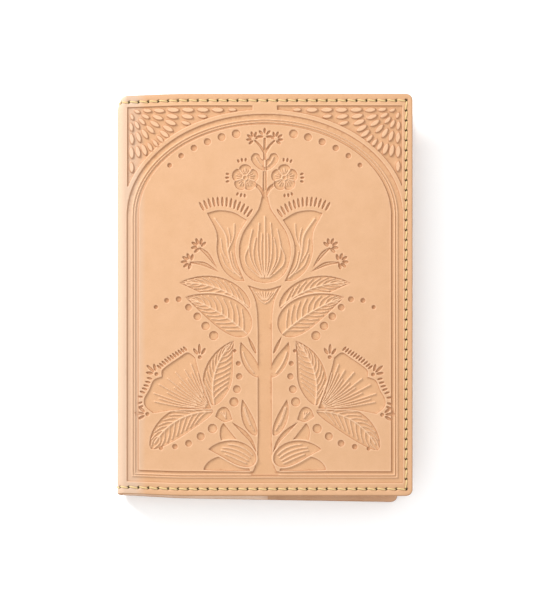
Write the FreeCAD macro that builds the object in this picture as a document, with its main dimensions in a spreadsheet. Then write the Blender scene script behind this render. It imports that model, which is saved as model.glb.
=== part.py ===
"""Refillable leather notebook cover, closed and lying on its back panel, with the notebook in it.

Frame: +X from the spine to the fore-edge, +Y to the head of the book, +Z up, in millimetres.
The origin is on the underside of the back panel, half-way across and up the front cover.

The cover is two leather panels and a spine strip, each an outer hide with a thin lining. A
pocket is saddle-stitched to the inside of each panel, and the notebook's two boards slide into
the pockets. The spine strip folds on the back panel, and the front panel folds on the spine.

Each panel is modelled in a frame of its own: u from the fold to the fore-edge, v along the
book's height, w from the outer face inwards. The back panel's frame is turned a little, because
a used cover sits slightly askew, and the front panel's frame is turned over.
"""
import FreeCAD
import Part
import Sketcher
import os
from collections import namedtuple

# ------------------------------------------------------------------ driving dimensions (mm, deg)
DRIVING = {
    "cover_width": 140.0,        # front panel, fold to fore-edge
    "cover_height": 190.5,       # head to tail
    "corner_radius": 3.0,        # fore-edge corners
    "back_setback": 4.8,         # the back panel is this much narrower
    "back_shift": 2.0,           # and sits this much lower at the spine
    "back_skew": 1.0,            # and is turned clockwise by this, seen from above
    "outer_thickness": 1.8,      # vegetable-tanned hide
    "lining_thickness": 0.6,
    "pocket_thickness": 0.9,
    "pocket_width": 62.0,        # fore-edge to the mouth, rounded to half a stitch
    "rim_width": 4.4,            # sewn margin round the pocket's slot
    "rim_step": 0.5,             # wall between the sewn margin and the slot
    "board_thickness": 0.8,      # notebook's card boards and spine
    "slip_gap": 0.1,             # between the card and the leather
    "spine_card_margin": 1.15,   # notebook's card spine to the linings, clear of the bent leather
    "gutter_gap": 0.2,           # between the card spine and the folded sections
    "section_thickness": 1.0,    # one folded section of leaves
    "section_gap": 0.05,
    "section_total": 8,
    "fold_radius": 0.45,         # back fold of a section
    "page_margin": 2.0,          # boards stand proud of the leaves by this
    "board_radius": 4.0,         # notebook's rounded fore-edge corners
    "end_play": 0.75,            # notebook to the ends of a slot
    "fore_play": 1.7,            # notebook to the bottom of the back slot
    "stitch_inset": 3.2,         # stitch line to the edge
    "stitch_pitch": 4.68,        # nearest pitch, adjusted to fill each run
    "thread_width": 0.6,
    "hole_width": 1.1,           # awl holes, and the groove that sinks the thread
    "groove_depth": 0.75,
    "thread_gap": 0.08,          # thread to the outer face, and to the leather inside
    "spine_stitches": 3,         # holes in each row across the spine
    "spine_stitch_end": 3.6,     # first of them to the fold
    "cut_margin": 5.0,           # how far a cutting sketch runs past the leather
}

# ------------------------------------------------------------------ dimensions worked out
WORKED = {
    "half_height": "size.cover_height / 2",
    "spine_face": "-size.cover_width / 2",
    "slot_floor": "size.outer_thickness + size.lining_thickness",
    "slot_roof": "work.slot_floor + size.board_thickness + 2 * size.slip_gap",
    "pocket_top": "work.slot_roof + size.pocket_thickness",
    "page_level": "work.pocket_top + size.slip_gap",
    "section_rise": "size.section_thickness + size.section_gap",
    "block_thickness": "size.section_total * work.section_rise - size.section_gap",
    "closed_thickness": "2 * work.page_level + work.block_thickness",
    "gutter": "work.slot_floor + size.board_thickness + size.slip_gap + size.gutter_gap",
    "skew_sin": "sin(size.back_skew * 1 deg)",
    "skew_cos": "cos(size.back_skew * 1 deg)",
    "skew_tan": "tan(size.back_skew * 1 deg)",
    "stitch_line": "work.half_height - size.stitch_inset",
    "fore_steps": "round(2 * work.stitch_line / size.stitch_pitch)",
    "fore_pitch": "2 * work.stitch_line / work.fore_steps",
    "front_width": "size.cover_width",
    "front_start": "size.stitch_inset",
    "front_steps": "round((work.front_width - size.stitch_inset - work.front_start) / size.stitch_pitch)",
    "front_pitch": "(work.front_width - size.stitch_inset - work.front_start) / work.front_steps",
    "front_mouth_step": "round((work.front_width - size.pocket_width - work.front_start)"
                        " / work.front_pitch - 0.5)",
    "front_mouth": "work.front_start + (work.front_mouth_step + 0.5) * work.front_pitch",
    "back_width": "size.cover_width - size.back_setback",
    "back_start": "size.stitch_inset + work.half_height * work.skew_tan",
    "back_steps": "round((work.back_width - size.stitch_inset - work.back_start) / size.stitch_pitch)",
    "back_pitch": "(work.back_width - size.stitch_inset - work.back_start) / work.back_steps",
    "back_mouth_step": "round((work.back_width - size.pocket_width - work.back_start)"
                       " / work.back_pitch - 0.5)",
    "back_mouth": "work.back_start + (work.back_mouth_step + 0.5) * work.back_pitch",
    "slot_half": "work.half_height - size.rim_width",
    "notebook_reach": "(work.back_width - size.rim_width) * work.skew_cos"
                      " - work.slot_half * work.skew_sin - size.fore_play",
    "notebook_drop": "(size.back_shift + work.notebook_reach * work.skew_sin) / 2",
    "notebook_half": "work.slot_half - work.notebook_drop - size.end_play",
    "page_reach": "work.notebook_reach - size.page_margin",
    "page_half": "work.notebook_half - size.page_margin",
    "spine_foot_half": "work.half_height / work.skew_cos",
    "spine_pitch": "(work.closed_thickness - 2 * size.spine_stitch_end) / (size.spine_stitches - 1)",
    "thread_on_lining": "work.slot_floor + size.thread_gap",
    "thread_on_rim": "work.slot_floor + size.pocket_thickness + size.thread_gap",
}

# A panel of the cover: its name, which is also the prefix of its worked-out dimensions, and the
# skew of its frame.
Panel = namedtuple("Panel", "name skew")
FRONT = Panel("front", "0")
BACK = Panel("back", "size.back_skew")

doc = FreeCAD.newDocument("notebook_cover")
size = doc.addObject("Spreadsheet::Sheet", "size")
work = doc.addObject("Spreadsheet::Sheet", "work")
pieces = []


def fill_sheets():
    """Write the driving dimensions and the formulas of the worked-out ones."""
    for row, (alias, number) in enumerate(DRIVING.items(), start=1):
        size.set(f"A{row}", alias)
        size.set(f"B{row}", str(number))
        size.setAlias(f"B{row}", alias)
    for row, (alias, formula) in enumerate(WORKED.items(), start=1):
        work.set(f"A{row}", alias)
        work.setAlias(f"B{row}", alias)
        work.set(f"B{row}", "=" + formula.replace("work.", ""))
    doc.recompute()


def value(expression):
    """The present value of an expression, in millimetres or degrees."""
    found = work.evalExpression(expression)
    return float(getattr(found, "Value", found))


# ------------------------------------------------------------------ sketches and features
def new_body(label):
    """A sub-part, which is written to a file of its own."""
    body = doc.addObject("PartDesign::Body", label)
    body.Label = label
    pieces.append(body)
    return body


def place(body, x, y, z, axis=FreeCAD.Vector(0, 0, 1), angle="0"):
    """Put a body in the cover's frame, with every figure bound to the sheets."""
    body.Placement = FreeCAD.Placement(FreeCAD.Vector(0, 0, 0), FreeCAD.Rotation(axis, 1))
    body.setExpression("Placement.Base.x", x)
    body.setExpression("Placement.Base.y", y)
    body.setExpression("Placement.Base.z", z)
    body.setExpression("Placement.Rotation.Angle", angle)


def place_panel(body, panel):
    """Put a body that is drawn in a panel's frame on that panel."""
    if panel is BACK:
        place(body, "work.spine_face", "-size.back_shift", "0", angle="-size.back_skew")
    else:
        place(body, "work.spine_face", "0", "work.closed_thickness", FreeCAD.Vector(1, 0, 0), "180")


def new_sketch(body, name, role="XY_Plane", level="0", turn=None):
    """A sketch on one of the body's own planes, lifted by level and turned about its Y axis."""
    sketch = body.newObject("Sketcher::SketchObject", name)
    plane = next(item for item in body.Origin.OriginFeatures if item.Role == role)
    sketch.AttachmentSupport = [(plane, "")]
    sketch.MapMode = "FlatFace"
    sketch.setExpression("AttachmentOffset.Base.z", level)
    if turn:
        sketch.AttachmentOffset = FreeCAD.Placement(
            FreeCAD.Vector(0, 0, 0), FreeCAD.Rotation(FreeCAD.Vector(0, 1, 0), 1))
        sketch.setExpression("AttachmentOffset.Rotation.Angle", turn)
    return sketch


def pin_point(sketch, geometry, end, x, y):
    """Bind a point of the sketch to two expressions, measured from the sketch's origin."""
    for kind, expression in (("DistanceX", x), ("DistanceY", y)):
        index = sketch.addConstraint(
            Sketcher.Constraint(kind, -1, 1, geometry, end, value(expression)))
        sketch.setExpression(f"Constraints[{index}]", expression)


def draw_outline(sketch, corners):
    """A closed outline of straight edges, each corner bound to its two expressions."""
    points = [FreeCAD.Vector(value(x), value(y), 0) for x, y in corners]
    first = sketch.GeometryCount
    for index, point in enumerate(points):
        following = points[(index + 1) % len(points)]
        sketch.addGeometry(Part.LineSegment(point, following), False)
    for index, (x, y) in enumerate(corners):
        following = first + (index + 1) % len(corners)
        sketch.addConstraint(Sketcher.Constraint("Coincident", first + index, 2, following, 1))
        pin_point(sketch, first + index, 1, x, y)


def draw_rectangle(sketch, left, right, low, high):
    """A rectangle between four expressions."""
    draw_outline(sketch, [(left, low), (right, low), (right, high), (left, high)])


def draw_circle(sketch, x, y, width):
    """A circle of the given width about a bound centre."""
    centre = FreeCAD.Vector(value(x), value(y), 0)
    geometry = sketch.addGeometry(
        Part.Circle(centre, FreeCAD.Vector(0, 0, 1), value(width) / 2), False)
    pin_point(sketch, geometry, 3, x, y)
    index = sketch.addConstraint(Sketcher.Constraint("Diameter", geometry, value(width)))
    sketch.setExpression(f"Constraints[{index}]", width)


def add_pad(body, sketch, length):
    """Extrude a sketch along its normal."""
    pad = body.newObject("PartDesign::Pad", sketch.Name + "_pad")
    pad.Profile = sketch
    pad.setExpression("Length", length)
    body.Tip = pad
    return pad


def cut_pocket(body, sketch, depth=None, inwards=True, both_ways=False):
    """Cut a sketch out of the body: along its normal if inwards, right through if no depth."""
    pocket = body.newObject("PartDesign::Pocket", sketch.Name + "_cut")
    pocket.Profile = sketch
    pocket.Reversed = inwards
    if both_ways:
        pocket.SideType = "Symmetric"
    if depth:
        pocket.setExpression("Length", depth)
    else:
        pocket.Type = "ThroughAll"
    body.Tip = pocket
    return pocket


def repeat_row(body, feature, sketch, axis, pitch, count):
    """Repeat a feature along an axis of its sketch."""
    row = body.newObject("PartDesign::LinearPattern", feature.Name + "_row")
    row.Originals = [feature]
    row.Direction = (sketch, [axis])
    row.setExpression("Length", f"({pitch}) * (({count}) - 1)")
    row.setExpression("Occurrences", count)
    body.Tip = row
    return row


def edges_at(pad, reach, along):
    """Names of the edges of a plate that lie at a distance from the spine and run one way."""
    doc.recompute()
    names = []
    for number, edge in enumerate(pad.Shape.Edges, start=1):
        ends = [vertex.Point for vertex in edge.Vertexes]
        runs_along = len(ends) == 2 and (ends[0] - ends[1]).cross(along).Length < 1e-6
        if runs_along and abs(ends[0].x - value(reach)) < 1e-6:
            names.append(f"Edge{number}")
    return names


def round_edges(body, pad, label, names, radius):
    """Round edges of a plate."""
    fillet = body.newObject("PartDesign::Fillet", label)
    fillet.Base = (pad, names)
    fillet.setExpression("Radius", radius)
    body.Tip = fillet


def round_fore_corners(body, pad, radius, reach):
    """Round the two upright edges at the fore-edge of a plate."""
    names = edges_at(pad, reach, FreeCAD.Vector(0, 0, 1))
    round_edges(body, pad, pad.Name + "_corners", names, radius)


# ------------------------------------------------------------------ the stitch line of a panel
def stitch_runs(panel, first_step="0"):
    """The rows of holes of a panel: name, u and v of the first one, axis, pitch and count."""
    side = f"work.{panel.name}"
    start = f"{side}_start + ({first_step}) * {side}_pitch"
    count = f"{side}_steps - ({first_step}) + 1"
    fore = f"{side}_width - size.stitch_inset"
    return [
        ("head", start, "work.stitch_line", "H_Axis", f"{side}_pitch", count),
        ("tail", start, "-work.stitch_line", "H_Axis", f"{side}_pitch", count),
        ("fore", fore, "work.fore_pitch - work.stitch_line", "V_Axis", "work.fore_pitch",
         "work.fore_steps - 1"),
    ]


def cut_stitch_holes(body, panel, first_step="0"):
    """Pierce the awl holes through one layer of a panel."""
    for name, u, v, axis, pitch, count in stitch_runs(panel, first_step):
        sketch = new_sketch(body, f"{body.Name}_{name}_hole")
        draw_circle(sketch, u, v, "size.hole_width")
        repeat_row(body, cut_pocket(body, sketch), sketch, axis, pitch, count)


def draw_stitch_band(sketch, panel, start, width):
    """A band of the given width along head, fore-edge and tail, centred on the stitch line."""
    fore = f"work.{panel.name}_width - size.stitch_inset"
    outside, inside = f"work.stitch_line + {width} / 2", f"work.stitch_line - {width} / 2"
    draw_outline(sketch, [
        (f"{start} - {width} / 2", outside),
        (f"{fore} + {width} / 2", outside),
        (f"{fore} + {width} / 2", f"-({outside})"),
        (f"{start} - {width} / 2", f"-({outside})"),
        (f"{start} - {width} / 2", f"-({inside})"),
        (f"{fore} - {width} / 2", f"-({inside})"),
        (f"{fore} - {width} / 2", inside),
        (f"{start} - {width} / 2", inside),
    ])


# ------------------------------------------------------------------ leather
def make_leather_sheet(panel, label, level, thickness):
    """One layer of a panel, cut square to its own edges and mitred where it folds."""
    body = new_body(label)
    sketch = new_sketch(body, f"{label}_outline", level=level)
    width = f"work.{panel.name}_width"
    lean = f"work.half_height * tan({panel.skew} * 1 deg)"
    draw_outline(sketch, [
        (lean, "-work.half_height"),
        (width, "-work.half_height"),
        (width, "work.half_height"),
        (f"-({lean})", "work.half_height"),
    ])
    pad = add_pad(body, sketch, thickness)
    round_fore_corners(body, pad, "size.corner_radius", width)
    mitre = new_sketch(body, f"{label}_mitre", "XZ_Plane", turn=panel.skew)
    draw_outline(mitre, [
        ("-size.cut_margin", "-size.cut_margin"),
        ("work.page_level", "work.page_level"),
        ("-size.cut_margin", "work.page_level"),
    ])
    cut_pocket(body, mitre, "2 * size.cover_height", both_ways=True)
    place_panel(body, panel)
    return body


def make_outer_panel(panel):
    """The hide of a panel, with a groove for the thread and its awl holes."""
    body = make_leather_sheet(panel, f"outer_{panel.name}", "0", "size.outer_thickness")
    groove = new_sketch(body, f"outer_{panel.name}_groove")
    draw_stitch_band(groove, panel, f"work.{panel.name}_start", "size.hole_width")
    cut_pocket(body, groove, "size.groove_depth")
    cut_stitch_holes(body, panel)


def make_lining(panel):
    """The thin lining glued behind a panel's hide."""
    body = make_leather_sheet(
        panel, f"lining_{panel.name}", "size.outer_thickness", "size.lining_thickness")
    cut_stitch_holes(body, panel)


def make_pocket(panel):
    """The pocket: a sewn rim on three sides and a raised sheet over the notebook's board."""
    label = f"pocket_{panel.name}"
    width, mouth = f"work.{panel.name}_width", f"work.{panel.name}_mouth"
    body = new_body(label)
    sheet = new_sketch(body, f"{label}_outline", level="work.slot_floor")
    draw_rectangle(sheet, mouth, width, "-work.half_height", "work.half_height")
    pad = add_pad(body, sheet, "work.pocket_top - work.slot_floor")
    round_fore_corners(body, pad, "size.corner_radius", width)

    slot = new_sketch(body, f"{label}_slot", level="work.slot_floor")
    draw_rectangle(slot, f"{mouth} - size.cut_margin", f"{width} - size.rim_width",
                   "-work.slot_half", "work.slot_half")
    cut_pocket(body, slot, "work.slot_roof - work.slot_floor")

    rim = new_sketch(body, f"{label}_rim", level="work.pocket_top")
    outside, wall = "work.half_height + size.cut_margin", "work.slot_half + size.rim_step"
    beyond, fore_wall = f"{width} + size.cut_margin", f"{width} - size.rim_width + size.rim_step"
    start = f"{mouth} - size.cut_margin"
    draw_outline(rim, [
        (start, outside),
        (beyond, outside),
        (beyond, f"-({outside})"),
        (start, f"-({outside})"),
        (start, f"-({wall})"),
        (fore_wall, f"-({wall})"),
        (fore_wall, wall),
        (start, wall),
    ])
    cut_pocket(body, rim, "work.slot_roof - work.slot_floor", inwards=False)
    cut_stitch_holes(body, panel, f"work.{panel.name}_mouth_step + 1")
    place_panel(body, panel)


def make_stitching(panel):
    """The waxed thread of a panel: sunk in its groove outside, on the lining and rim inside."""
    label = f"stitching_{panel.name}"
    side = f"work.{panel.name}"
    last_step = f"{side}_mouth_step"
    last_hole = f"{side}_start + {last_step} * {side}_pitch"
    body = new_body(label)
    outside = new_sketch(body, f"{label}_outside", level="size.thread_gap")
    draw_stitch_band(outside, panel, f"{side}_start", "size.thread_width")
    add_pad(body, outside, "size.thread_width")

    short_leg = "work.thread_on_lining + size.thread_width - size.thread_gap"
    long_leg = "work.thread_on_rim + size.thread_width - size.thread_gap"
    for name, u, v, axis, pitch, count in stitch_runs(panel, last_step):
        leg = new_sketch(body, f"{label}_{name}_long", level="size.thread_gap")
        draw_circle(leg, u, v, "size.thread_width")
        repeat_row(body, add_pad(body, leg, long_leg), leg, axis, pitch, count)
    for name, u, v, axis, pitch, count in stitch_runs(panel)[:2]:
        leg = new_sketch(body, f"{label}_{name}_short", level="size.thread_gap")
        draw_circle(leg, u, v, "size.thread_width")
        repeat_row(body, add_pad(body, leg, short_leg), leg, axis, pitch, f"{last_step} + 1")

    on_rim = new_sketch(body, f"{label}_on_rim", level="work.thread_on_rim")
    draw_stitch_band(on_rim, panel, last_hole, "size.thread_width")
    add_pad(body, on_rim, "size.thread_width")
    for name, sign in (("head", ""), ("tail", "-")):
        bar = new_sketch(body, f"{label}_{name}_bar", level="work.thread_on_lining")
        draw_rectangle(bar, f"{side}_start - size.thread_width / 2",
                       f"{last_hole} + size.thread_width / 2",
                       f"{sign}work.stitch_line - size.thread_width / 2",
                       f"{sign}work.stitch_line + size.thread_width / 2")
        add_pad(body, bar, "size.thread_width")
    place_panel(body, panel)


# ------------------------------------------------------------------ spine
def stitch_height(step):
    """Height of a hole in the spine above the back panel's outer face."""
    return f"size.spine_stitch_end + {step} * work.spine_pitch"


def spine_stitch_line(sign, height):
    """How far along the book the spine's stitch line is, at a height."""
    return (f"{sign}work.stitch_line"
            f" - size.back_shift * (1 - ({height}) / work.closed_thickness)")


def make_spine_layer(label, level, thickness):
    """One layer of the spine strip, whose foot leans with the back panel, mitred at both folds."""
    body = new_body(label)
    sketch = new_sketch(body, f"{label}_outline", "YZ_Plane", level=level)
    draw_outline(sketch, [
        ("-work.spine_foot_half - size.back_shift", "0"),
        ("work.spine_foot_half - size.back_shift", "0"),
        ("work.half_height", "work.closed_thickness"),
        ("-work.half_height", "work.closed_thickness"),
    ])
    add_pad(body, sketch, thickness)
    top, foot = "work.closed_thickness", "0"
    for name, fold, sign in (("back", foot, ""), ("front", top, "-")):
        mitre = new_sketch(body, f"{label}_{name}_mitre", "XZ_Plane")
        draw_outline(mitre, [
            ("-size.cut_margin", f"{fold} {sign or '+'} (-size.cut_margin)"),
            ("work.page_level", f"{fold} {sign or '+'} (-size.cut_margin)"),
            ("work.page_level", f"{fold} {sign or '+'} work.page_level"),
        ])
        cut_pocket(body, mitre, "3 * size.cover_height", both_ways=True)
    place(body, "work.spine_face", "0", "0")
    return body


def cut_spine_holes(body):
    """Pierce the two rows of awl holes across the spine."""
    for name, sign in (("head", ""), ("tail", "-")):
        sketch = new_sketch(body, f"{body.Name}_{name}_holes", "YZ_Plane")
        for step in range(int(value("size.spine_stitches"))):
            height = stitch_height(step)
            draw_circle(sketch, spine_stitch_line(sign, height), height, "size.hole_width")
        cut_pocket(body, sketch)


def draw_spine_band(sketch, sign, width):
    """A band of the given width along one of the spine's two stitch lines."""
    low = f"({stitch_height(0)}) - {width} / 2"
    high = f"work.closed_thickness - ({low})"
    draw_outline(sketch, [
        (f"{spine_stitch_line(sign, low)} - {width} / 2", low),
        (f"{spine_stitch_line(sign, low)} + {width} / 2", low),
        (f"{spine_stitch_line(sign, high)} + {width} / 2", high),
        (f"{spine_stitch_line(sign, high)} - {width} / 2", high),
    ])


def make_spine():
    """The spine's hide, its lining and the two short rows of thread across it."""
    hide = make_spine_layer("outer_spine", "0", "size.outer_thickness")
    for name, sign in (("head", ""), ("tail", "-")):
        groove = new_sketch(hide, f"outer_spine_{name}_groove", "YZ_Plane")
        draw_spine_band(groove, sign, "size.hole_width")
        cut_pocket(hide, groove, "size.groove_depth")
    cut_spine_holes(hide)
    lining = make_spine_layer("lining_spine", "size.outer_thickness", "size.lining_thickness")
    cut_spine_holes(lining)

    thread = new_body("stitching_spine")
    thread.AllowCompound = True
    for name, sign in (("head", ""), ("tail", "-")):
        outside = new_sketch(thread, f"stitching_spine_{name}_outside", "YZ_Plane",
                             level="size.thread_gap")
        draw_spine_band(outside, sign, "size.thread_width")
        add_pad(thread, outside, "size.thread_width")
        legs = new_sketch(thread, f"stitching_spine_{name}_legs", "YZ_Plane",
                          level="size.thread_gap")
        for step in range(int(value("size.spine_stitches"))):
            height = stitch_height(step)
            draw_circle(legs, spine_stitch_line(sign, height), height, "size.thread_width")
        add_pad(thread, legs, "work.thread_on_lining + size.thread_width - size.thread_gap")
        inside = new_sketch(thread, f"stitching_spine_{name}_inside", "YZ_Plane",
                            level="work.thread_on_lining")
        draw_spine_band(inside, sign, "size.thread_width")
        add_pad(thread, inside, "size.thread_width")
    place(thread, "work.spine_face", "0", "0")


# ------------------------------------------------------------------ notebook
def make_board(label, height):
    """A card board of the notebook, with its fore-edge corners rounded."""
    body = new_body(label)
    sketch = new_sketch(body, f"{label}_outline")
    draw_rectangle(sketch, "work.gutter", "work.notebook_reach",
                   "-work.notebook_half", "work.notebook_half")
    pad = add_pad(body, sketch, "size.board_thickness")
    round_fore_corners(body, pad, "size.board_radius", "work.notebook_reach")
    place(body, "work.spine_face", "-work.notebook_drop", height)


def make_card_spine():
    """The notebook's flat card spine, between the lining and the folded sections."""
    body = new_body("notebook_spine_card")
    sketch = new_sketch(body, "notebook_spine_card_outline", "YZ_Plane",
                        level="work.slot_floor + size.slip_gap")
    draw_rectangle(sketch, "-work.notebook_half", "work.notebook_half",
                   "work.slot_floor + size.spine_card_margin",
                   "work.closed_thickness - work.slot_floor - size.spine_card_margin")
    add_pad(body, sketch, "size.board_thickness")
    place(body, "work.spine_face", "-work.notebook_drop", "0")


def make_section(number):
    """One folded section of leaves, numbered from the front, with its back fold rounded."""
    label = f"page_section_{number}"
    body = new_body(label)
    sketch = new_sketch(body, f"{label}_outline")
    draw_rectangle(sketch, "work.gutter", "work.page_reach", "-work.page_half", "work.page_half")
    pad = add_pad(body, sketch, "size.section_thickness")
    names = edges_at(pad, "work.gutter", FreeCAD.Vector(0, 1, 0))
    round_edges(body, pad, f"{label}_fold", names, "size.fold_radius")
    place(body, "work.spine_face", "-work.notebook_drop",
          f"work.page_level + (size.section_total - {number}) * work.section_rise")


# ------------------------------------------------------------------ build, check and write
def check_document():
    """Stop if any object failed, or if a sub-part has no valid solid."""
    for item in doc.Objects:
        if {"Invalid", "Error"} & set(item.State):
            raise RuntimeError(f"{item.Label} failed: {item.State}")
    for piece in pieces:
        if piece.Shape.isNull() or not piece.Shape.isValid() or not piece.Shape.Solids:
            raise RuntimeError(f"{piece.Label} has no valid solid")


def write_parts():
    """Write each sub-part's shape, in the cover's frame, to a file of its own."""
    os.makedirs("parts", exist_ok=True)
    for piece in pieces:
        piece.Shape.exportStep(f"parts/{piece.Label}.step")
        box = piece.Shape.BoundBox
        print(f"{piece.Label:22s} {len(piece.Shape.Solids)} solids {piece.Shape.Volume:10.1f} mm3"
              f"  x {box.XMin:8.2f} {box.XMax:8.2f}  y {box.YMin:8.2f} {box.YMax:8.2f}"
              f"  z {box.ZMin:6.2f} {box.ZMax:6.2f}")


fill_sheets()
for side in (BACK, FRONT):
    make_outer_panel(side)
    make_lining(side)
    make_pocket(side)
    make_stitching(side)
make_spine()
make_board("notebook_back_board", "work.slot_floor + size.slip_gap")
make_board("notebook_front_board",
           "work.closed_thickness - work.slot_floor - size.slip_gap - size.board_thickness")
make_card_spine()
for place_in_block in range(1, int(value("size.section_total")) + 1):
    make_section(place_in_block)
doc.recompute()
check_document()
write_parts()
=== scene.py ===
"""A refillable leather notebook cover, closed on a pale table: pressed hide, saddle stitching,
sewn-in pockets, and the card-bound notebook that they hold.

Lengths are in millimetres, except in Studio, and meshes are made in metres, in the frame's own
axes: +X from the spine to the fore-edge, +Y to the head of the book, +Z up.
"""
import logging
import math
from dataclasses import dataclass, field
from enum import Enum
from typing import Callable, Optional, Sequence

import bpy
import numpy as np
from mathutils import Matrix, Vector


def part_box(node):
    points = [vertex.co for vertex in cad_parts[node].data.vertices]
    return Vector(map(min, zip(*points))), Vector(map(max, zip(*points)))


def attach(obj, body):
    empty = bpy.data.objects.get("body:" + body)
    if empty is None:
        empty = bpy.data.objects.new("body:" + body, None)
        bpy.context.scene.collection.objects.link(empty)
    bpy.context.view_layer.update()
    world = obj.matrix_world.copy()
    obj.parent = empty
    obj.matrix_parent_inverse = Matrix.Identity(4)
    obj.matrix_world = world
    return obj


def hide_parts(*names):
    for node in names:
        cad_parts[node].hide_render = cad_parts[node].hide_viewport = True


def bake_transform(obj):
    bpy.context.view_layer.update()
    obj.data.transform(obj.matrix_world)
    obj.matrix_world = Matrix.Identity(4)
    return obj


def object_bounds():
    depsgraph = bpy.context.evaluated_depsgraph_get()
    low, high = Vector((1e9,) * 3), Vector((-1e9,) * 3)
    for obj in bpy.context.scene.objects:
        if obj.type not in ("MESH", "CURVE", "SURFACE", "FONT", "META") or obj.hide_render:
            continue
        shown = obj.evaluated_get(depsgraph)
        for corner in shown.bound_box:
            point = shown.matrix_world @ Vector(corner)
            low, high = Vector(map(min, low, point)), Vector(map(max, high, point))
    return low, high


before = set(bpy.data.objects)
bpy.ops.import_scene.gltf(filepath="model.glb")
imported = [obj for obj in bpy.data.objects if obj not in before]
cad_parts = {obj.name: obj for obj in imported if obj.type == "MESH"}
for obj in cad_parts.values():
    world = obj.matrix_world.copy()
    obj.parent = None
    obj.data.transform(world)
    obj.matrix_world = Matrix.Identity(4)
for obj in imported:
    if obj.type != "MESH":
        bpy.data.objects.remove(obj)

CAD_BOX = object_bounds()
MM = 0.001
SEED = 7
SHARP = math.radians(50)                                  # edges that turn more stay crisp
LOG = logging.getLogger("notebook_cover")

Array = np.ndarray
Point = Sequence[float]                                   # right of and above a middle
Relief = Callable[[Array, Array], tuple[Array, dict[str, Array]]]


class Side(Enum):
    """The two panels of the cover."""

    FRONT = "front"
    BACK = "back"


# ----------------------------------------------------------------------------- small mathematics
def smooth(value: Array) -> Array:
    """Ease from 0 to 1.

    Args:
        value: Any numbers; those outside 0 to 1 are held at the ends.

    Returns:
        The eased numbers.
    """
    held = np.clip(value, 0.0, 1.0)
    return held * held * (3.0 - 2.0 * held)


def through(points: Sequence[Point], steps: int = 10, closed: bool = False) -> Array:
    """A smooth curve through a few points.

    Args:
        points: The points, in order.
        steps: How many pieces each span is divided into.
        closed: Whether the curve runs back to its first point.

    Returns:
        The curve's points, one row each.
    """
    knots = np.array(points, float)
    if closed:
        knots = np.vstack([knots[-1], knots, knots[0], knots[1]])
    else:
        knots = np.vstack([2 * knots[0] - knots[1], knots, 2 * knots[-1] - knots[-2]])
    part = np.linspace(0.0, 1.0, steps, endpoint=False)[:, None]
    spans = []
    for before, start, end, after in zip(knots, knots[1:], knots[2:], knots[3:]):
        spans.append(0.5 * (2 * start + (end - before) * part
                            + (2 * before - 5 * start + 4 * end - after) * part ** 2
                            + (3 * start - before - 3 * end + after) * part ** 3))
    if not closed:
        spans.append(knots[-2][None, :])
    return np.vstack(spans)


def joined(*strokes: Sequence[Point]) -> Array:
    """A closed outline of smooth strokes that meet at corners.

    Args:
        strokes: Each stroke's points; a stroke starts where the one before it ended.

    Returns:
        The outline's points.
    """
    return np.vstack([through(stroke)[:-1] for stroke in strokes])


def toward(turn: float) -> Array:
    """The unit vector at an angle in degrees from +X."""
    return np.array([math.cos(math.radians(turn)), math.sin(math.radians(turn))])


def ellipse(centre: Point, width: float, height: float, turn: float = 0.0, count: int = 28) -> Array:
    """An ellipse as an outline.

    Args:
        centre: Its middle.
        width: Its half-width along its own first axis.
        height: Its half-height.
        turn: Degrees from +X to its first axis.
        count: How many points it has.

    Returns:
        The outline's points.
    """
    angle = np.linspace(0.0, 2 * math.pi, count, endpoint=False)
    cos_turn, sin_turn = toward(turn)
    along, across = width * np.cos(angle), height * np.sin(angle)
    return np.stack([centre[0] + along * cos_turn - across * sin_turn,
                     centre[1] + along * sin_turn + across * cos_turn], axis=1)


def lens(centre: Point, length: float, width: float, turn: float) -> Array:
    """A pointed seed shape as an outline.

    Args:
        centre: Its middle.
        length: Its length, tip to tip.
        width: Its greatest width.
        turn: Degrees from +X to its long axis.

    Returns:
        The outline's points.
    """
    part = np.linspace(0.0, math.pi, 10)
    along = -length / 2 * np.cos(part)
    across = width / 2 * np.sin(part) ** 1.25
    shape = np.vstack([np.stack([along, across], 1), np.stack([along, -across], 1)[-2:0:-1]])
    cos_turn, sin_turn = toward(turn)
    turned = shape @ np.array([[cos_turn, sin_turn], [-sin_turn, cos_turn]])
    return turned + np.array(centre)


def evenly_along(curve: Array, count: int) -> tuple[Array, Array]:
    """Points spaced evenly along a curve.

    Args:
        curve: The curve's points.
        count: How many points to place, the ends included.

    Returns:
        The points, and the curve's direction at each of them.
    """
    pieces = np.diff(curve, axis=0)
    reach = np.concatenate([[0.0], np.cumsum(np.hypot(pieces[:, 0], pieces[:, 1]))])
    wanted = np.linspace(0.0, reach[-1], count)
    places = np.stack([np.interp(wanted, reach, curve[:, axis]) for axis in (0, 1)], axis=1)
    index = np.clip(np.searchsorted(reach, wanted, side="right") - 1, 0, len(pieces) - 1)
    heading = pieces[index] / np.linalg.norm(pieces[index], axis=1)[:, None]
    return places, heading


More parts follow.
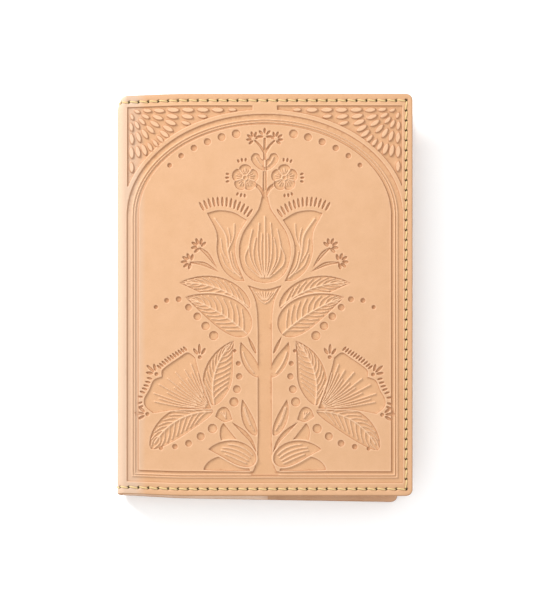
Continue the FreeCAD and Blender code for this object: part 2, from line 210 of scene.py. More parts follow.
# ----------------------------------------------------------------------------- pressed design
@dataclass
class Leaf:
    """One pointed leaf of the design, drawn from its base to its tip.

    left and right are its half-widths on either side of the midrib, and bow is how far the
    midrib leans to the left half-way along.
    """

    base: Point
    tip: Point
    left: float
    right: float
    bow: float = 0.0
    belly: float = 0.4
    roundness: float = 0.62
    veins: int = 9

    def midrib(self, part: Array) -> tuple[Array, Array]:
        """Points on the midrib and the unit vectors to its left.

        Args:
            part: How far along each point is, from 0 at the base to 1 at the tip.

        Returns:
            The points and the vectors.
        """
        base, tip = np.array(self.base), np.array(self.tip)
        run = tip - base
        lean = np.array([-run[1], run[0]]) / np.linalg.norm(run) * self.bow * 2
        control = (base + tip) / 2 + lean
        part = np.asarray(part, float)[:, None]
        place = (1 - part) ** 2 * base + 2 * part * (1 - part) * control + part ** 2 * tip
        heading = 2 * (1 - part) * (control - base) + 2 * part * (tip - control)
        heading /= np.linalg.norm(heading, axis=1)[:, None]
        return place, np.stack([-heading[:, 1], heading[:, 0]], axis=1)

    def half_width(self, part: Array) -> Array:
        """How wide the leaf is at each place along it, as a share of its greatest width.

        Args:
            part: How far along each place is, from 0 at the base to 1 at the tip.

        Returns:
            The shares.
        """
        fall = self.roundness * (1 - self.belly) / self.belly
        peak = self.belly ** self.roundness * (1 - self.belly) ** fall
        return np.clip(part, 0, 1) ** self.roundness * np.clip(1 - part, 0, 1) ** fall / peak

    def outline(self) -> Array:
        """Run up the leaf's left edge and back down its right.

        Returns:
            The closed outline's points.
        """
        part = (1 - np.cos(np.linspace(0, math.pi, 26))) / 2
        place, leftward = self.midrib(part)
        wide = self.half_width(part)[:, None]
        left_edge = place + leftward * wide * self.left
        right_edge = place - leftward * wide * self.right
        return np.vstack([left_edge, right_edge[-2:0:-1]])

    def vein_lines(self) -> list[Array]:
        """Draw the side veins, which lean towards the tip and stop short of the edge.

        Returns:
            Each vein's points.
        """
        lines = []
        forward, outward = np.array([0.0, 0.08, 0.19]), np.array([0.0, 0.42, 0.80])
        for start in np.linspace(0.08, 0.80, self.veins):
            for reach, sign in ((self.left, 1.0), (self.right, -1.0)):
                part = start + forward
                place, leftward = self.midrib(part)
                out = self.half_width(part) * reach * outward
                lines.append(through(place + sign * leftward * out[:, None], 4))
        return lines


@dataclass
class Tooling:
    """The design pressed into the front hide, as fields over its left half.

    sunk runs from 0, the plain surface, to 1, full depth. wall_mark says where a cut wall is
    darkened by burnishing and painted shade, and where small floors get painted shade; shine says
    where a painted highlight lightens ridges, lips and raised shapes; and lip where the leather
    stands proud. The right half mirrors the left. Places are measured from the middle of the panel.
    """

    half_width: float
    half_height: float
    cell: float
    wall: float = 0.42        # width over which a pressed wall falls
    lip_reach: float = 0.45   # how far beside a wall the leather is pushed up
    springing: float = 37.9   # level at which the arch's sides start to bend
    arch_span: float = 65.3   # half its width
    arch_rise: float = 47.7   # its top above the springing
    arch_foot: float = -89.2
    arch_rim: float = 2.2     # plain leather left outside it
    band: float = 5.4         # width of its sunk frame
    columns: Array = field(init=False)
    rows: Array = field(init=False)
    sunk: Array = field(init=False)
    shine: Array = field(init=False)
    wall_mark: Array = field(init=False)
    lip: Array = field(init=False)

    def __post_init__(self) -> None:
        """Lay out the empty field."""
        self.columns = np.arange(-self.half_width, self.cell, self.cell)
        self.rows = np.arange(-self.half_height, self.half_height + self.cell, self.cell)
        self.sunk = np.zeros((len(self.rows), len(self.columns)))
        self.wall_mark = np.zeros_like(self.sunk)
        self.shine = np.zeros_like(self.sunk)
        self.lip = np.zeros_like(self.sunk)

    # -- pressing shapes
    def window(self, curve: Array, margin: float) -> tuple[slice, slice]:
        """The part of the field that a curve can touch.

        Args:
            curve: The curve's points.
            margin: How far beyond them the window reaches.

        Returns:
            The row and column slices.
        """
        low, high = curve.min(axis=0) - margin, curve.max(axis=0) + margin
        return (slice(*np.searchsorted(self.rows, (low[1], high[1]))),
                slice(*np.searchsorted(self.columns, (low[0], high[0]))))

    def distance(self, curve: Array, view: tuple[slice, slice], closed: bool) -> Array:
        """How far each place in a window is from a curve.

        Args:
            curve: The curve's points.
            view: The window.
            closed: Whether the curve is an outline; inside it the distance is negative.

        Returns:
            The distances.
        """
        x, y = np.meshgrid(self.columns[view[1]], self.rows[view[0]])
        nearest = np.full(x.shape, np.inf)
        inside = np.zeros(x.shape, bool)
        ends = np.roll(curve, -1, axis=0) if closed else curve[1:]
        for (ax, ay), (bx, by) in zip(curve, ends):
            run_x, run_y = bx - ax, by - ay
            length = run_x * run_x + run_y * run_y + 1e-12
            part = np.clip(((x - ax) * run_x + (y - ay) * run_y) / length, 0, 1)
            gap = (x - ax - part * run_x) ** 2 + (y - ay - part * run_y) ** 2
            np.minimum(nearest, gap, out=nearest)
            if closed and ay != by:
                inside ^= ((ay > y) != (by > y)) & (x < ax + (y - ay) * run_x / run_y)
        nearest = np.sqrt(nearest)
        return np.where(inside, -nearest, nearest) if closed else nearest

    def sink(self, outline: Array, gap: float = 0.0, tone: float = 0.0) -> None:
        """Press a shape in, clearing a rim of plain leather round it if gap is given.

        Args:
            outline: The shape's outline.
            gap: The width of the plain rim.
            tone: How much painted shade darkens its floor, from 0 to 1.
        """
        view = self.window(outline, gap + self.wall)
        edge = self.distance(outline, view, closed=True)
        if gap:
            clear = smooth((edge - gap) / self.wall + 0.5)
            for layer in (self.sunk, self.wall_mark, self.shine):
                layer[view] *= clear
        pressed = smooth(0.5 - edge / self.wall)
        self.sunk[view] = np.maximum(self.sunk[view], pressed)
        # The mark darkens the wall by burnishing and painted shade; tone adds painted shade to the
        # floor.
        mark = np.maximum(np.exp(-((edge + 0.1) / (0.55 * self.wall)) ** 2), tone * pressed)
        self.wall_mark[view] = np.maximum(np.where(edge < -self.wall, 0, self.wall_mark[view]), mark)

    def lift(self, outline: Array, shine: float = 0.55) -> None:
        """Leave a shape standing at the plain surface.

        Args:
            outline: The shape's outline.
            shine: How much a painted highlight lightens it, from 0 to 1.
        """
        view = self.window(outline, self.wall)
        edge = self.distance(outline, view, closed=True)
        self.sunk[view] *= smooth(edge / self.wall + 0.5)
        mark = np.exp(-(edge / (0.6 * self.wall)) ** 2)
        self.wall_mark[view] = np.maximum(np.where(edge < -self.wall, 0, self.wall_mark[view]), mark)
        # Painted highlight on the shape that stands.
        self.shine[view] = np.maximum(self.shine[view], shine * smooth(-edge / self.wall))

    def ridge(self, curve: Array, width: float = 0.5, rise: float = 0.8) -> None:
        """Leave a raised line standing in what is sunk.

        Args:
            curve: The line's points.
            width: Its width at half height.
            rise: How far it stands up, as a share of the depth.
        """
        view = self.window(curve, 2 * width)
        gap = self.distance(curve, view, closed=False)
        swell = rise * np.exp(-(gap / (0.6 * width)) ** 2)
        # Painted highlight on the raised line.
        self.shine[view] = np.maximum(self.shine[view], swell * self.sunk[view])
        self.sunk[view] *= 1.0 - swell

    def sample(self, values: Array, x: Array, y: Array) -> Array:
        """Read a field at given places.

        Args:
            values: The field.
            x: Distances right of the middle.
            y: Distances above the middle.

        Returns:
            The field's value at each place.
        """
        column = np.clip((-np.abs(x) - self.columns[0]) / self.cell, 0, len(self.columns) - 1.001)
        row = np.clip((y - self.rows[0]) / self.cell, 0, len(self.rows) - 1.001)
        left, low = column.astype(int), row.astype(int)
        across, up = column - left, row - low
        below = values[low, left] * (1 - across) + values[low, left + 1] * across
        above = values[low + 1, left] * (1 - across) + values[low + 1, left + 1] * across
        return below * (1 - up) + above * up

    # -- parts of the design
    def draw(self) -> None:
        """Press the whole design, from the ground up."""
        self.draw_arch()
        self.draw_seed_corner()
        self.draw_trunk()
        self.draw_leaves()
        self.draw_bloom()
        self.draw_foot()
        self.draw_tulip()
        self.draw_crown()
        self.draw_dots()
        self.raise_lips()

    def raise_lips(self) -> None:
        """Let the leather stand a little proud beside what is pressed in."""
        reach = max(1, round(self.lip_reach / self.cell))
        spread = self.sunk.copy()
        for axis in (0, 1):
            for _ in range(2):
                total = np.zeros_like(spread)
                for step in range(-reach, reach + 1):
                    total += np.roll(spread, step, axis)
                spread = total / (2 * reach + 1)
        self.lip = spread * (1.0 - self.sunk)
        # Painted highlight on the lips, with the earlier highlight a little toned down.
        self.shine = np.maximum(0.8 * self.shine, np.clip(2.4 * self.lip - 0.15, 0, 0.8))

    def arch(self, half_span: float, rise: float, foot: float) -> Array:
        """An arched outline with straight sides.

        Args:
            half_span: Half its width.
            rise: Height of its elliptical top above the springing.
            foot: Level of its bottom edge.

        Returns:
            The outline's points.
        """
        angle = np.linspace(0.0, math.pi, 90)
        top = np.stack([half_span * np.cos(angle), self.springing + rise * np.sin(angle)], axis=1)
        return np.vstack([[half_span, foot], top, [-half_span, foot]])

    def draw_arch(self) -> None:
        """The frame: a sunk band with two raised lines in it."""
        self.sink(self.arch(self.arch_span, self.arch_rise, self.arch_foot), tone=0.26)
        self.lift(self.arch(self.arch_span - self.band, self.arch_rise - self.band + 0.6,
                            self.arch_foot + self.band), shine=0.0)
        for share, width in ((0.48, 0.45), (0.70, 0.4)):
            inset = share * self.band
            line = self.arch(self.arch_span - inset, self.arch_rise - inset, self.arch_foot + inset)
            self.ridge(np.vstack([line, line[:1]]), width, 0.85)

    def draw_seed_corner(self) -> None:
        """The corner outside the arch: a sunk ground with seeds that fan from the corner."""
        corner = (-65.1, 89.6)
        span, rise = self.arch_span + self.arch_rim, self.arch_rise + self.arch_rim
        angle = np.linspace(math.radians(95), math.radians(164), 40)
        edge = np.stack([span * np.cos(angle), self.springing + rise * np.sin(angle)], axis=1)
        ground = np.vstack([[corner], [(edge[0, 0], corner[1])], edge, [(corner[0], edge[-1, 1])]])
        self.sink(ground, tone=0.32)
        reach, pitch = 4.6, 3.1
        for row in range(8):
            length, width = min(3.0 + 1.0 * row, 5.4), min(1.4 + 0.2 * row, 1.95)
            count = max(2, round(reach * math.pi / 2 / pitch))
            for index in range(count):
                turn = -90.0 * (index + 0.5) / count
                place = (corner[0] + 0.4, corner[1] - 0.4) + reach * toward(turn)
                clear = 55 * (math.hypot(place[0] / span, (place[1] - self.springing) / rise) - 1)
                if clear > 0.9 and place[1] > self.springing + 9:
                    short = min(1.0, 0.45 + clear / 5)
                    self.lift(lens(place, 1.06 * length * short, 1.22 * width * max(short, 0.75),
                                   turn))
            reach += length + 1.6

    def draw_trunk(self) -> None:
        """The trunk that carries the design, with the collar that holds the tulip."""
        half = 3.3
        self.sink(joined(
            [(-7.9, 4.3), (-5.6, 0.2), (-4.0, -5.0), (-half, -15.0), (-half, -45.0), (-half, -70.0),
             (-4.2, -80.0), (-6.5, -85.5)],
            [(-6.5, -85.5), (6.5, -85.5)],
            [(6.5, -85.5), (4.2, -80.0), (half, -70.0), (half, -45.0), (half, -15.0), (4.0, -5.0),
             (5.6, 0.2), (7.9, 4.3)],
            [(7.9, 4.3), (0.0, 2.4), (-7.9, 4.3)]))
        for turn in (-62, -38, -18, 0):
            lean = math.sin(math.radians(turn))
            self.ridge(np.array([(lean * 1.2, -2.4), (lean * 4.6, 1.2)]), 0.4, 0.7)
        self.ridge(through([(-6.0, 3.0), (-2.6, -2.2), (0.0, -4.2)]), 0.4, 0.7)
        upper = Leaf((-3.4, -39.0), (-11.3, -22.6), left=1.9, right=4.2, bow=1.6, veins=0)
        self.sink(upper.outline())
        self.ridge(upper.midrib(np.linspace(0.15, 0.75, 8))[0], 0.5)
        self.sink(Leaf((-4.2, -27.8), (-7.9, -20.0), 0.6, 0.7, veins=0).outline())
        lower = Leaf((-4.1, -66.6), (-10.5, -49.8), left=2.7, right=2.5, bow=0.9, veins=0)
        self.sink(lower.outline())
        for start in (0.15, 0.3):
            self.ridge(lower.midrib(np.linspace(start, 0.8, 8))[0] + [0.9 - 4 * start, 0], 0.4)

    def veined(self, leaf: Leaf, gap: float = 0.75) -> None:
        """Press a leaf with its midrib and side veins standing.

        Args:
            leaf: The leaf.
            gap: The width of the plain rim that is cleared round it.
        """
        self.sink(leaf.outline(), gap)
        self.ridge(leaf.midrib(np.linspace(0.0, 0.92, 16))[0], 0.6, 0.9)
        for line in leaf.vein_lines():
            self.ridge(line, 0.38, 0.85)

    def draw_leaves(self) -> None:
        """The pair of big leaves, the lower one lying over the upper."""
        self.veined(Leaf((-7.2, -6.2), (-40.4, 5.6), left=5.6, right=5.4, bow=-3.6, veins=9))
        self.veined(Leaf((-8.2, -18.8), (-37.6, -1.2), left=6.3, right=9.2, bow=-2.0,
                         belly=0.34, roundness=0.5, veins=9))

    def draw_bloom(self) -> None:
        """The fan-shaped bloom in the lower corner, with the leaves that hold it."""
        self.veined(Leaf((-23.9, -52.4), (-14.7, -21.9), left=5.0, right=8.6, bow=4.2, veins=9))
        self.veined(Leaf((-24.5, -55.2), (-53.8, -73.4), left=7.4, right=5.2, bow=-5.2,
                         belly=0.52, roundness=0.66, veins=9))
        root = (-25.4, -53.9)
        crown_upper = [(-33.0, -29.8), (-36.6, -27.5), (-41.0, -30.2), (-45.4, -33.2), (-48.6, -36.0),
                       (-48.7, -39.0)]
        crown_lower = [(-48.7, -39.0), (-52.6, -40.8), (-54.7, -45.4), (-57.0, -49.6),
                       (-56.6, -53.2), (-53.0, -56.4)]
        self.sink(joined([root, (-28.6, -45.0), (-31.5, -36.0), crown_upper[0]], crown_upper,
                         crown_lower, [crown_lower[-1], (-43.0, -54.6), (-33.0, -54.0), root]), 0.7)
        for turn, start, end in ((109, 6, 22), (113, 9, 18), (117, 4, 23), (122, 7, 19), (127, 3, 22),
                                 (132, 8, 18), (137, 3, 24), (143, 6, 19), (148, 3, 25),
                                 (153, 8, 20), (158, 3, 27), (163, 7, 22), (168, 3, 28),
                                 (172, 8, 25), (176, 4, 27)):
            angle = np.radians(turn + np.array([2.5, 0.0, -2.5]))
            reach = np.array([start, (start + end) / 2, end])
            rib = np.array(root) + np.stack([reach * np.cos(angle), reach * np.sin(angle)], axis=1)
            self.ridge(through(rib), 0.44, 0.9)
        self.draw_comb(through(crown_upper[1:5]), 11)
        self.draw_comb(through(crown_lower[1:5]), 8)
        for place, turn in (((-30.8, -29.6), 92), ((-51.3, -37.8), 138), ((-55.6, -56.9), 176)):
            self.draw_floret(place, turn)
        self.sink(joined(
            [(-23.4, -57.8), (-21.8, -54.4), (-19.2, -53.2), (-17.0, -54.8), (-15.4, -59.2)],
            [(-15.4, -59.2), (-19.2, -60.2), (-23.4, -57.8)]), 0.4)
        for lean in (-1.6, -0.4, 0.8):
            self.ridge(np.array([(-18.6, -58.4), (-19.4 + lean, -55.6)]), 0.36, 0.7)
        self.sink(joined([(-15.4, -60.6), (-9.5, -64.4), (-5.6, -69.4), (-3.6, -76.0)],
                         [(-3.6, -76.0), (-6.8, -70.0), (-10.6, -65.9), (-15.4, -60.6)]))

    def draw_comb(self, rim: Array, count: int) -> None:
        """A row of short strokes standing off a rim.

        Args:
            rim: The rim, with its outer side to the right of its direction.
            count: How many strokes it has.
        """
        places, headings = evenly_along(rim, count)
        for place, heading in zip(places, headings):
            outward = np.array([heading[1], -heading[0]])
            turn = math.degrees(math.atan2(outward[1], outward[0])) + 12
            self.sink(lens(place + 2.2 * outward, 2.6, 0.95, turn), tone=0.2)

    def draw_floret(self, place: Point, turn: float) -> None:
        """A small bead with three petals over it.

        Args:
            place: The bead's middle.
            turn: Degrees from +X to its middle petal.
        """
        self.sink(ellipse(place, 0.85, 0.85))
        for lean, length in ((-34, 3.4), (0, 4.6), (34, 3.4)):
            middle = place + (1.6 + length / 2) * toward(turn + lean)
            self.sink(lens(middle, length, 1.3, turn + lean), tone=0.25)

    def draw_foot(self) -> None:
        """The three leaves that lie at the foot of the trunk."""
        self.sink(Leaf((-6.0, -77.0), (-19.6, -61.0), left=6.2, right=0.6, bow=0.8,
                       belly=0.5, veins=0).outline(), 0.5)
        self.sink(Leaf((-7.0, -83.4), (-28.9, -82.9), left=0.6, right=6.2, bow=-0.4,
                       belly=0.55, roundness=0.8, veins=0).outline(), 0.5)
        top = Leaf((-5.0, -80.2), (-26.6, -73.2), left=5.0, right=5.6, bow=-2.4, belly=0.36,
                   roundness=0.5, veins=0)
        self.sink(top.outline(), 0.8)
        for share in (-0.62, -0.24, 0.14, 0.52):
            part = np.linspace(0.14, 0.78 - 0.25 * abs(share), 10)
            place, leftward = top.midrib(part)
            side = np.where(share > 0, top.left, top.right) * share
            self.ridge(place + leftward * (top.half_width(part) * side)[:, None], 0.5, 0.85)

    def draw_tulip(self) -> None:
        """The tulip: two fringed outer petals and a striped bulb between them."""
        tip, shoulder, heel = (-27.3, 38.6), (-8.6, 35.4), (-9.6, 6.4)
        self.sink(joined(
            [tip, (-21.8, 39.9), (-14.8, 38.9), shoulder],
            [shoulder, (-12.4, 29.0), (-14.2, 22.4), (-13.2, 15.4), heel],
            [heel, (-14.4, 7.2), (-19.8, 12.2), (-22.6, 20.0), (-22.8, 29.4), tip]), 0.5)
        stem = through([(-23.6, 36.0), (-18.6, 28.2), (-17.4, 20.0), (-15.2, 12.4), (-11.4, 8.2)])
        self.ridge(stem, 0.6, 0.85)
        for line in ([(-14.4, 33.6), (-14.8, 27.6), (-17.4, 21.0)],
                     [(-17.4, 31.6), (-16.4, 26.0), (-17.4, 20.6)],
                     [(-20.8, 26.4), (-20.0, 20.8), (-17.2, 15.6)],
                     [(-20.8, 19.4), (-18.6, 14.0), (-14.6, 10.4)],
                     [(-16.0, 20.4), (-14.8, 14.4), (-12.0, 10.0)]):
            self.ridge(through(line), 0.4, 0.7)
        rim = through([(-28.8, 39.8), (-24.0, 41.6), (-18.0, 41.6), (-12.4, 39.6), (-8.4, 36.8)])
        places, _ = evenly_along(rim, 13)
        for index, place in enumerate(places):
            lean = 118 - 5.2 * index
            self.sink(lens(place + 2.3 * toward(lean), 4.6, 1.08, lean), tone=0.15)
        half = [(-1.3, 46.4), (-2.9, 40.6), (-6.6, 35.0), (-10.3, 29.2), (-12.1, 22.6), (-11.8, 16.4),
                (-9.8, 10.8), (-5.6, 6.9), (0.0, 5.5)]
        self.sink(joined(half, [(-x, y) for x, y in reversed(half)], [(1.3, 46.4), (-1.3, 46.4)]), 0.7)
        self.ridge(np.array([(0.0, 37.0), (0.0, 9.6)]), 0.6, 0.85)
        for wide, top in ((1.7, 29.0), (3.4, 34.0), (5.4, 27.0), (7.4, 31.0), (9.4, 23.0)):
            fall = top - 8.8
            line = through([(-wide * 0.80, top), (-wide, top - 0.34 * fall),
                            (-wide * 0.92, top - 0.62 * fall),
                            (-wide * 0.60, top - 0.84 * fall), (-wide * 0.22, 8.2)])
            self.ridge(line, 0.42, 0.85)
            self.ridge(line * [-1, 1], 0.42, 0.85)

    def draw_crown(self) -> None:
        """What stands on the tulip: its stem, two daisies, a bud and three sprigs."""
        self.sink(np.array([(-1.0, 45.0), (-0.75, 60.5), (0.75, 60.5), (1.0, 45.0)]))
        self.ridge(np.array([(0.0, 50.0), (0.0, 59.0)]), 0.3, 0.5)
        self.sink(joined([(-1.0, 46.6), (-2.6, 49.6), (-5.4, 52.0)], [(-5.4, 52.0), (-4.4, 53.0)],
                         [(-4.4, 53.0), (-1.8, 51.0), (-0.6, 48.4)], [(-0.6, 48.4), (-1.0, 46.6)]))
        self.draw_daisy((-9.3, 55.4), 6.3)
        bud = joined([(-0.5, 58.8), (-3.2, 60.0), (-5.4, 62.2), (-6.5, 64.6), (-5.2, 66.8),
                      (-3.0, 66.6), (-1.9, 64.6), (-0.5, 63.6)], [(-0.5, 63.6), (-0.5, 58.8)])
        self.sink(bud, 0.3)
        self.ridge(through([(-1.2, 61.0), (-2.8, 62.6), (-4.2, 65.2)]), 0.4, 0.85)
        self.sink(np.array([(-0.7, 64.0), (-0.5, 74.2), (0.5, 74.2), (0.7, 64.0)]))
        self.sink(joined([(-0.4, 66.6), (-2.6, 70.2), (-5.0, 72.9)], [(-5.0, 72.9), (-4.5, 73.3)],
                         [(-4.5, 73.3), (-2.0, 71.0), (-0.4, 68.6)], [(-0.4, 68.6), (-0.4, 66.6)]))
        self.draw_sprig((0.0, 75.6), 90, 5, 2.6)
        self.draw_sprig((-5.4, 74.0), 128, 6, 2.6)
        for root, tip, turn in (((-22.6, 12.6), (-30.6, 22.4), 132),
                                ((-21.8, 10.8), (-35.0, 15.6), 165)):
            root, tip = np.array(root), np.array(tip)
            bend = (root + tip) / 2 + [0.2, 2.0]
            under, end = bend - [0.9, 1.5], tip - 0.5
            self.sink(joined([root, bend, tip], [tip, end], [end, under, root]))
            self.ridge(through([root, (bend + under) / 2, tip]), 0.3, 0.6)
            self.draw_sprig(tip + 0.9 * toward(turn), turn, 6, 3.0)

    def draw_sprig(self, place: Point, turn: float, petals: int, length: float) -> None:
        """A tuft of small petals round the end of a stem.

        Args:
            place: The end of the stem.
            turn: Degrees from +X to the way it grows.
            petals: How many petals it has.
            length: Length of each petal.
        """
        for lean in np.linspace(-112, 112, petals):
            middle = place + (0.5 + length * 0.62) * toward(turn + lean)
            self.sink(lens(middle, length, 0.46 * length, turn + 0.8 * lean), tone=0.15)

    def draw_daisy(self, centre: Point, radius: float) -> None:
        """A flower of five notched petals, with strokes round its outer side.

        Args:
            centre: Its middle.
            radius: Its reach.
        """
        angle = np.linspace(0.0, 2 * math.pi, 120, endpoint=False)
        reach = radius * (0.70 + 0.30 * np.abs(np.cos(2.5 * (angle - 0.3))) ** 0.45)
        self.sink(centre + np.stack([reach * np.cos(angle), reach * np.sin(angle)], axis=1), 0.3)
        for petal in range(5):
            middle = 0.3 + petal * 2 * math.pi / 5
            gap = middle + math.pi / 5
            for turn, start, end, width in (
                    (gap, 1.6, 4.6, 0.55), (middle, 2.2, 4.2, 0.36),
                    (middle - 0.3, 2.2, 3.7, 0.3), (middle + 0.3, 2.2, 3.7, 0.3)):
                heading = np.array([math.cos(turn), math.sin(turn)])
                self.ridge(centre + np.outer(np.array([start, end]) * radius / 6, heading), width, 0.8)
        heart = ellipse(centre, 1.15, 1.15)
        self.ridge(np.vstack([heart, heart[:1]]), 0.4, 0.85)
        for middle_turn in (100, 180, 257):
            for lean, length in ((-12, 1.7), (0, 1.9), (12, 1.7)):
                turn = middle_turn + lean
                self.sink(lens(centre + (radius + 2.2) * toward(turn), length, 1.0, turn), tone=0.15)

    def draw_dots(self) -> None:
        """The beads: a row under the arch, and rows that follow the leaves and the bloom."""
        span, rise = self.arch_span - 9.2, self.arch_rise - 8.2
        angle = np.linspace(math.radians(143.5), math.radians(104), 40)
        under_arch = np.stack([span * np.cos(angle), self.springing + rise * np.sin(angle)], axis=1)
        rows = (
            (under_arch, 6, 1.05, 1.95),
            (through([(-51.6, -5.9), (-42.4, -1.6), (-33.4, -8.8), (-24.2, -19.4)]), 7, 0.9, 2.1),
            (through([(-14.2, -26.6), (-12.0, -37.0), (-14.6, -50.8)]), 5, 0.75, 2.1),
            (through([(-24.8, -63.4), (-36.6, -70.6), (-49.2, -72.9)]), 5, 2.1, 0.9),
        )
        for curve, count, first, last in rows:
            places, _ = evenly_along(curve, count)
            for place, radius in zip(places, np.linspace(first, last, count)):
                # Smaller beads get more painted shade on their floors.
                self.sink(ellipse(place, radius, radius), tone=1.0 - 0.42 * radius)


# ----------------------------------------------------------------------------- how the leather lies
@dataclass
class PanelForm:
    """How one half of the cover lies: half the spine, the bend and the panel.

    A place on it is q, the distance along the hide from the middle of the spine, v, the distance
    up the book, and w, the depth below the outer face.
    """

    side: Side
    spine_face: float
    closed_thickness: float
    half_height: float
    width: float
    skew: float
    shift: float
    bend_radius: float = 4.0      # outer face of the hide, round the fold
    corner_radius: float = 3.0
    pinch: float = 3.4            # how far the fold is drawn in at head and tail
    pinch_reach: float = 8.5      # up the book
    pinch_width: float = 14.0     # and across it
    spine_dip: float = 0.010      # how much shorter the spine is, as a share of the height
    dip_reach: float = 34.0

    @property
    def straight(self) -> float:
        """How far the spine runs flat from its middle to the bend."""
        return self.closed_thickness / 2 - self.bend_radius

    @property
    def bend_end(self) -> float:
        """The q at which the bend ends and the panel lies flat."""
        return self.straight + math.pi / 2 * self.bend_radius

    def q_at(self, from_spine: Array) -> Array:
        """The q of a place on the flat of the panel, from its distance to the spine's face."""
        return self.bend_end + from_spine - self.bend_radius

    def fore_edge(self, v: Array, inset: float = 0.0) -> Array:
        """The q of the fore-edge at each height, with its rounded corners.

        Args:
            v: Distances up the book.
            inset: How far inside the true edge.

        Returns:
            The q of each place.
        """
        lean = math.radians(self.skew)
        flat = self.q_at((self.width - inset) * math.cos(lean) + v * math.sin(lean))
        radius = self.corner_radius - inset
        beyond = np.clip(np.abs(v) - (self.half_height - self.corner_radius), 0, radius)
        return flat - radius + np.sqrt(radius ** 2 - beyond ** 2)

    def place(self, q: Array, v: Array, w: Array) -> Array:
        """Where places on the hide are, in metres.

        Args:
            q: Distances along the hide.
            v: Distances up the book.
            w: Depths below the outer face.

        Returns:
            One row of coordinates for each place.
        """
        q, v, w = np.broadcast_arrays(np.asarray(q, float), v, w)
        angle = np.clip((q - self.straight) / self.bend_radius, 0.0, math.pi / 2)
        past = np.maximum(q - self.bend_end, 0.0)
        short = np.minimum(q - self.straight, 0.0)
        inner = self.bend_radius - w
        from_spine = self.bend_radius - inner * np.cos(angle) + past
        depth = self.bend_radius - inner * np.sin(angle) - short
        near = smooth(1.0 - (from_spine - w) / self.dip_reach)
        up = v * (1.0 - self.spine_dip * near)
        fraction = np.clip(depth / self.closed_thickness, 0.0, 1.0)
        if self.side is Side.FRONT:
            y = up - self.shift * fraction
            z = self.closed_thickness - depth
        else:
            lean = math.radians(self.skew)
            y = up / math.cos(lean) - self.shift * (1.0 - fraction) - from_spine * math.tan(lean)
            z = depth
        end = np.clip((v - (self.half_height - self.pinch_reach)) / self.pinch_reach, 0.0, 1.0)
        fade = np.clip(1.0 - from_spine / self.pinch_width, 0.0, 1.0) ** 2
        x = self.spine_face + from_spine + self.pinch * (1.0 - np.sqrt(1.0 - end ** 2)) * fade
        return np.stack([x, y, z], axis=-1) * MM


@dataclass
class MeshDraft:
    """Vertices, faces and per-vertex values gathered before a mesh is made."""

    places: list[Array] = field(default_factory=list)
    quads: list[Array] = field(default_factory=list)
    rings: list[Array] = field(default_factory=list)
    values: dict[str, list[Array]] = field(default_factory=dict)
    count: int = 0

    def add(self, places: Array, **values: Array) -> Array:
        """Add vertices.

        Args:
            places: Their coordinates, in an array of any shape whose last axis is x, y, z.
            values: Named numbers or vectors for each of them.

        Returns:
            Their indices, in the array's shape.
        """
        shape = places.shape[:-1]
        self.places.append(places.reshape(-1, 3))
        for name, value in values.items():
            size = shape + (3,) if name == "flat" else shape
            value = np.broadcast_to(np.asarray(value, float), size)
            self.values.setdefault(name, []).append(value.reshape(-1, *size[len(shape):]))
        indices = np.arange(self.count, self.count + math.prod(shape)).reshape(shape)
        self.count += indices.size
        return indices

    def skin(self, grid: Array, flip: bool = False) -> None:
        """Cover a grid of vertices with faces.

        Args:
            grid: The indices, in rows and columns.
            flip: Whether the faces look the other way.
        """
        corners = [grid[:-1, :-1], grid[:-1, 1:], grid[1:, 1:], grid[1:, :-1]]
        if flip:
            corners.reverse()
        self.quads.append(np.stack(corners, axis=-1).reshape(-1, 4))

    def cap(self, ring: Array, flip: bool = False) -> None:
        """Close a ring of vertices with one face."""
        self.rings.append(np.asarray(ring)[::-1] if flip else np.asarray(ring))

    def make(self, name: str, finish: bpy.types.Material, keep: float = 1.0) -> bpy.types.Object:
        """Make the object, leaving out vertices that no face uses.

        Args:
            name: The piece's name.
            finish: Its material.
            keep: The share of its faces that is kept; plain stretches are thinned first.

        Returns:
            The object, in the scene.
        """
        quads = np.vstack(self.quads)
        corners = np.concatenate([quads.ravel(), *self.rings])
        sizes = np.array([4] * len(quads) + [len(ring) for ring in self.rings])
        used, corners = np.unique(corners, return_inverse=True)
        mesh = bpy.data.meshes.new(name)
        mesh.vertices.add(len(used))
        mesh.vertices.foreach_set("co", np.vstack(self.places)[used].astype(np.float32).ravel())
        mesh.loops.add(len(corners))
        mesh.loops.foreach_set("vertex_index", corners.astype(np.int32).ravel())
        mesh.polygons.add(len(sizes))
        starts = np.concatenate([[0], np.cumsum(sizes)[:-1]])
        mesh.polygons.foreach_set("loop_start", starts.astype(np.int32))
        mesh.update(calc_edges=True)
        mesh.validate()
        for label, parts in self.values.items():
            kind, key = ("FLOAT_VECTOR", "vector") if label == "flat" else ("FLOAT", "value")
            layer = mesh.attributes.new(label, kind, "POINT")
            layer.data.foreach_set(key, np.concatenate(parts)[used].astype(np.float32).ravel())
        piece = bpy.data.objects.new(name, mesh)
        bpy.context.scene.collection.objects.link(piece)
        if keep < 1.0:
            thinning = piece.modifiers.new("thinning", "DECIMATE")
            thinning.ratio = keep
            graph = bpy.context.evaluated_depsgraph_get()
            piece.data = bpy.data.meshes.new_from_object(piece.evaluated_get(graph))
            piece.modifiers.clear()
            bpy.data.meshes.remove(mesh)
            piece.data.name = name
        piece.data.materials.clear()
        piece.data.materials.append(finish)
        piece.data.shade_smooth()
        piece.data.set_sharp_from_angle(angle=SHARP)
        return piece


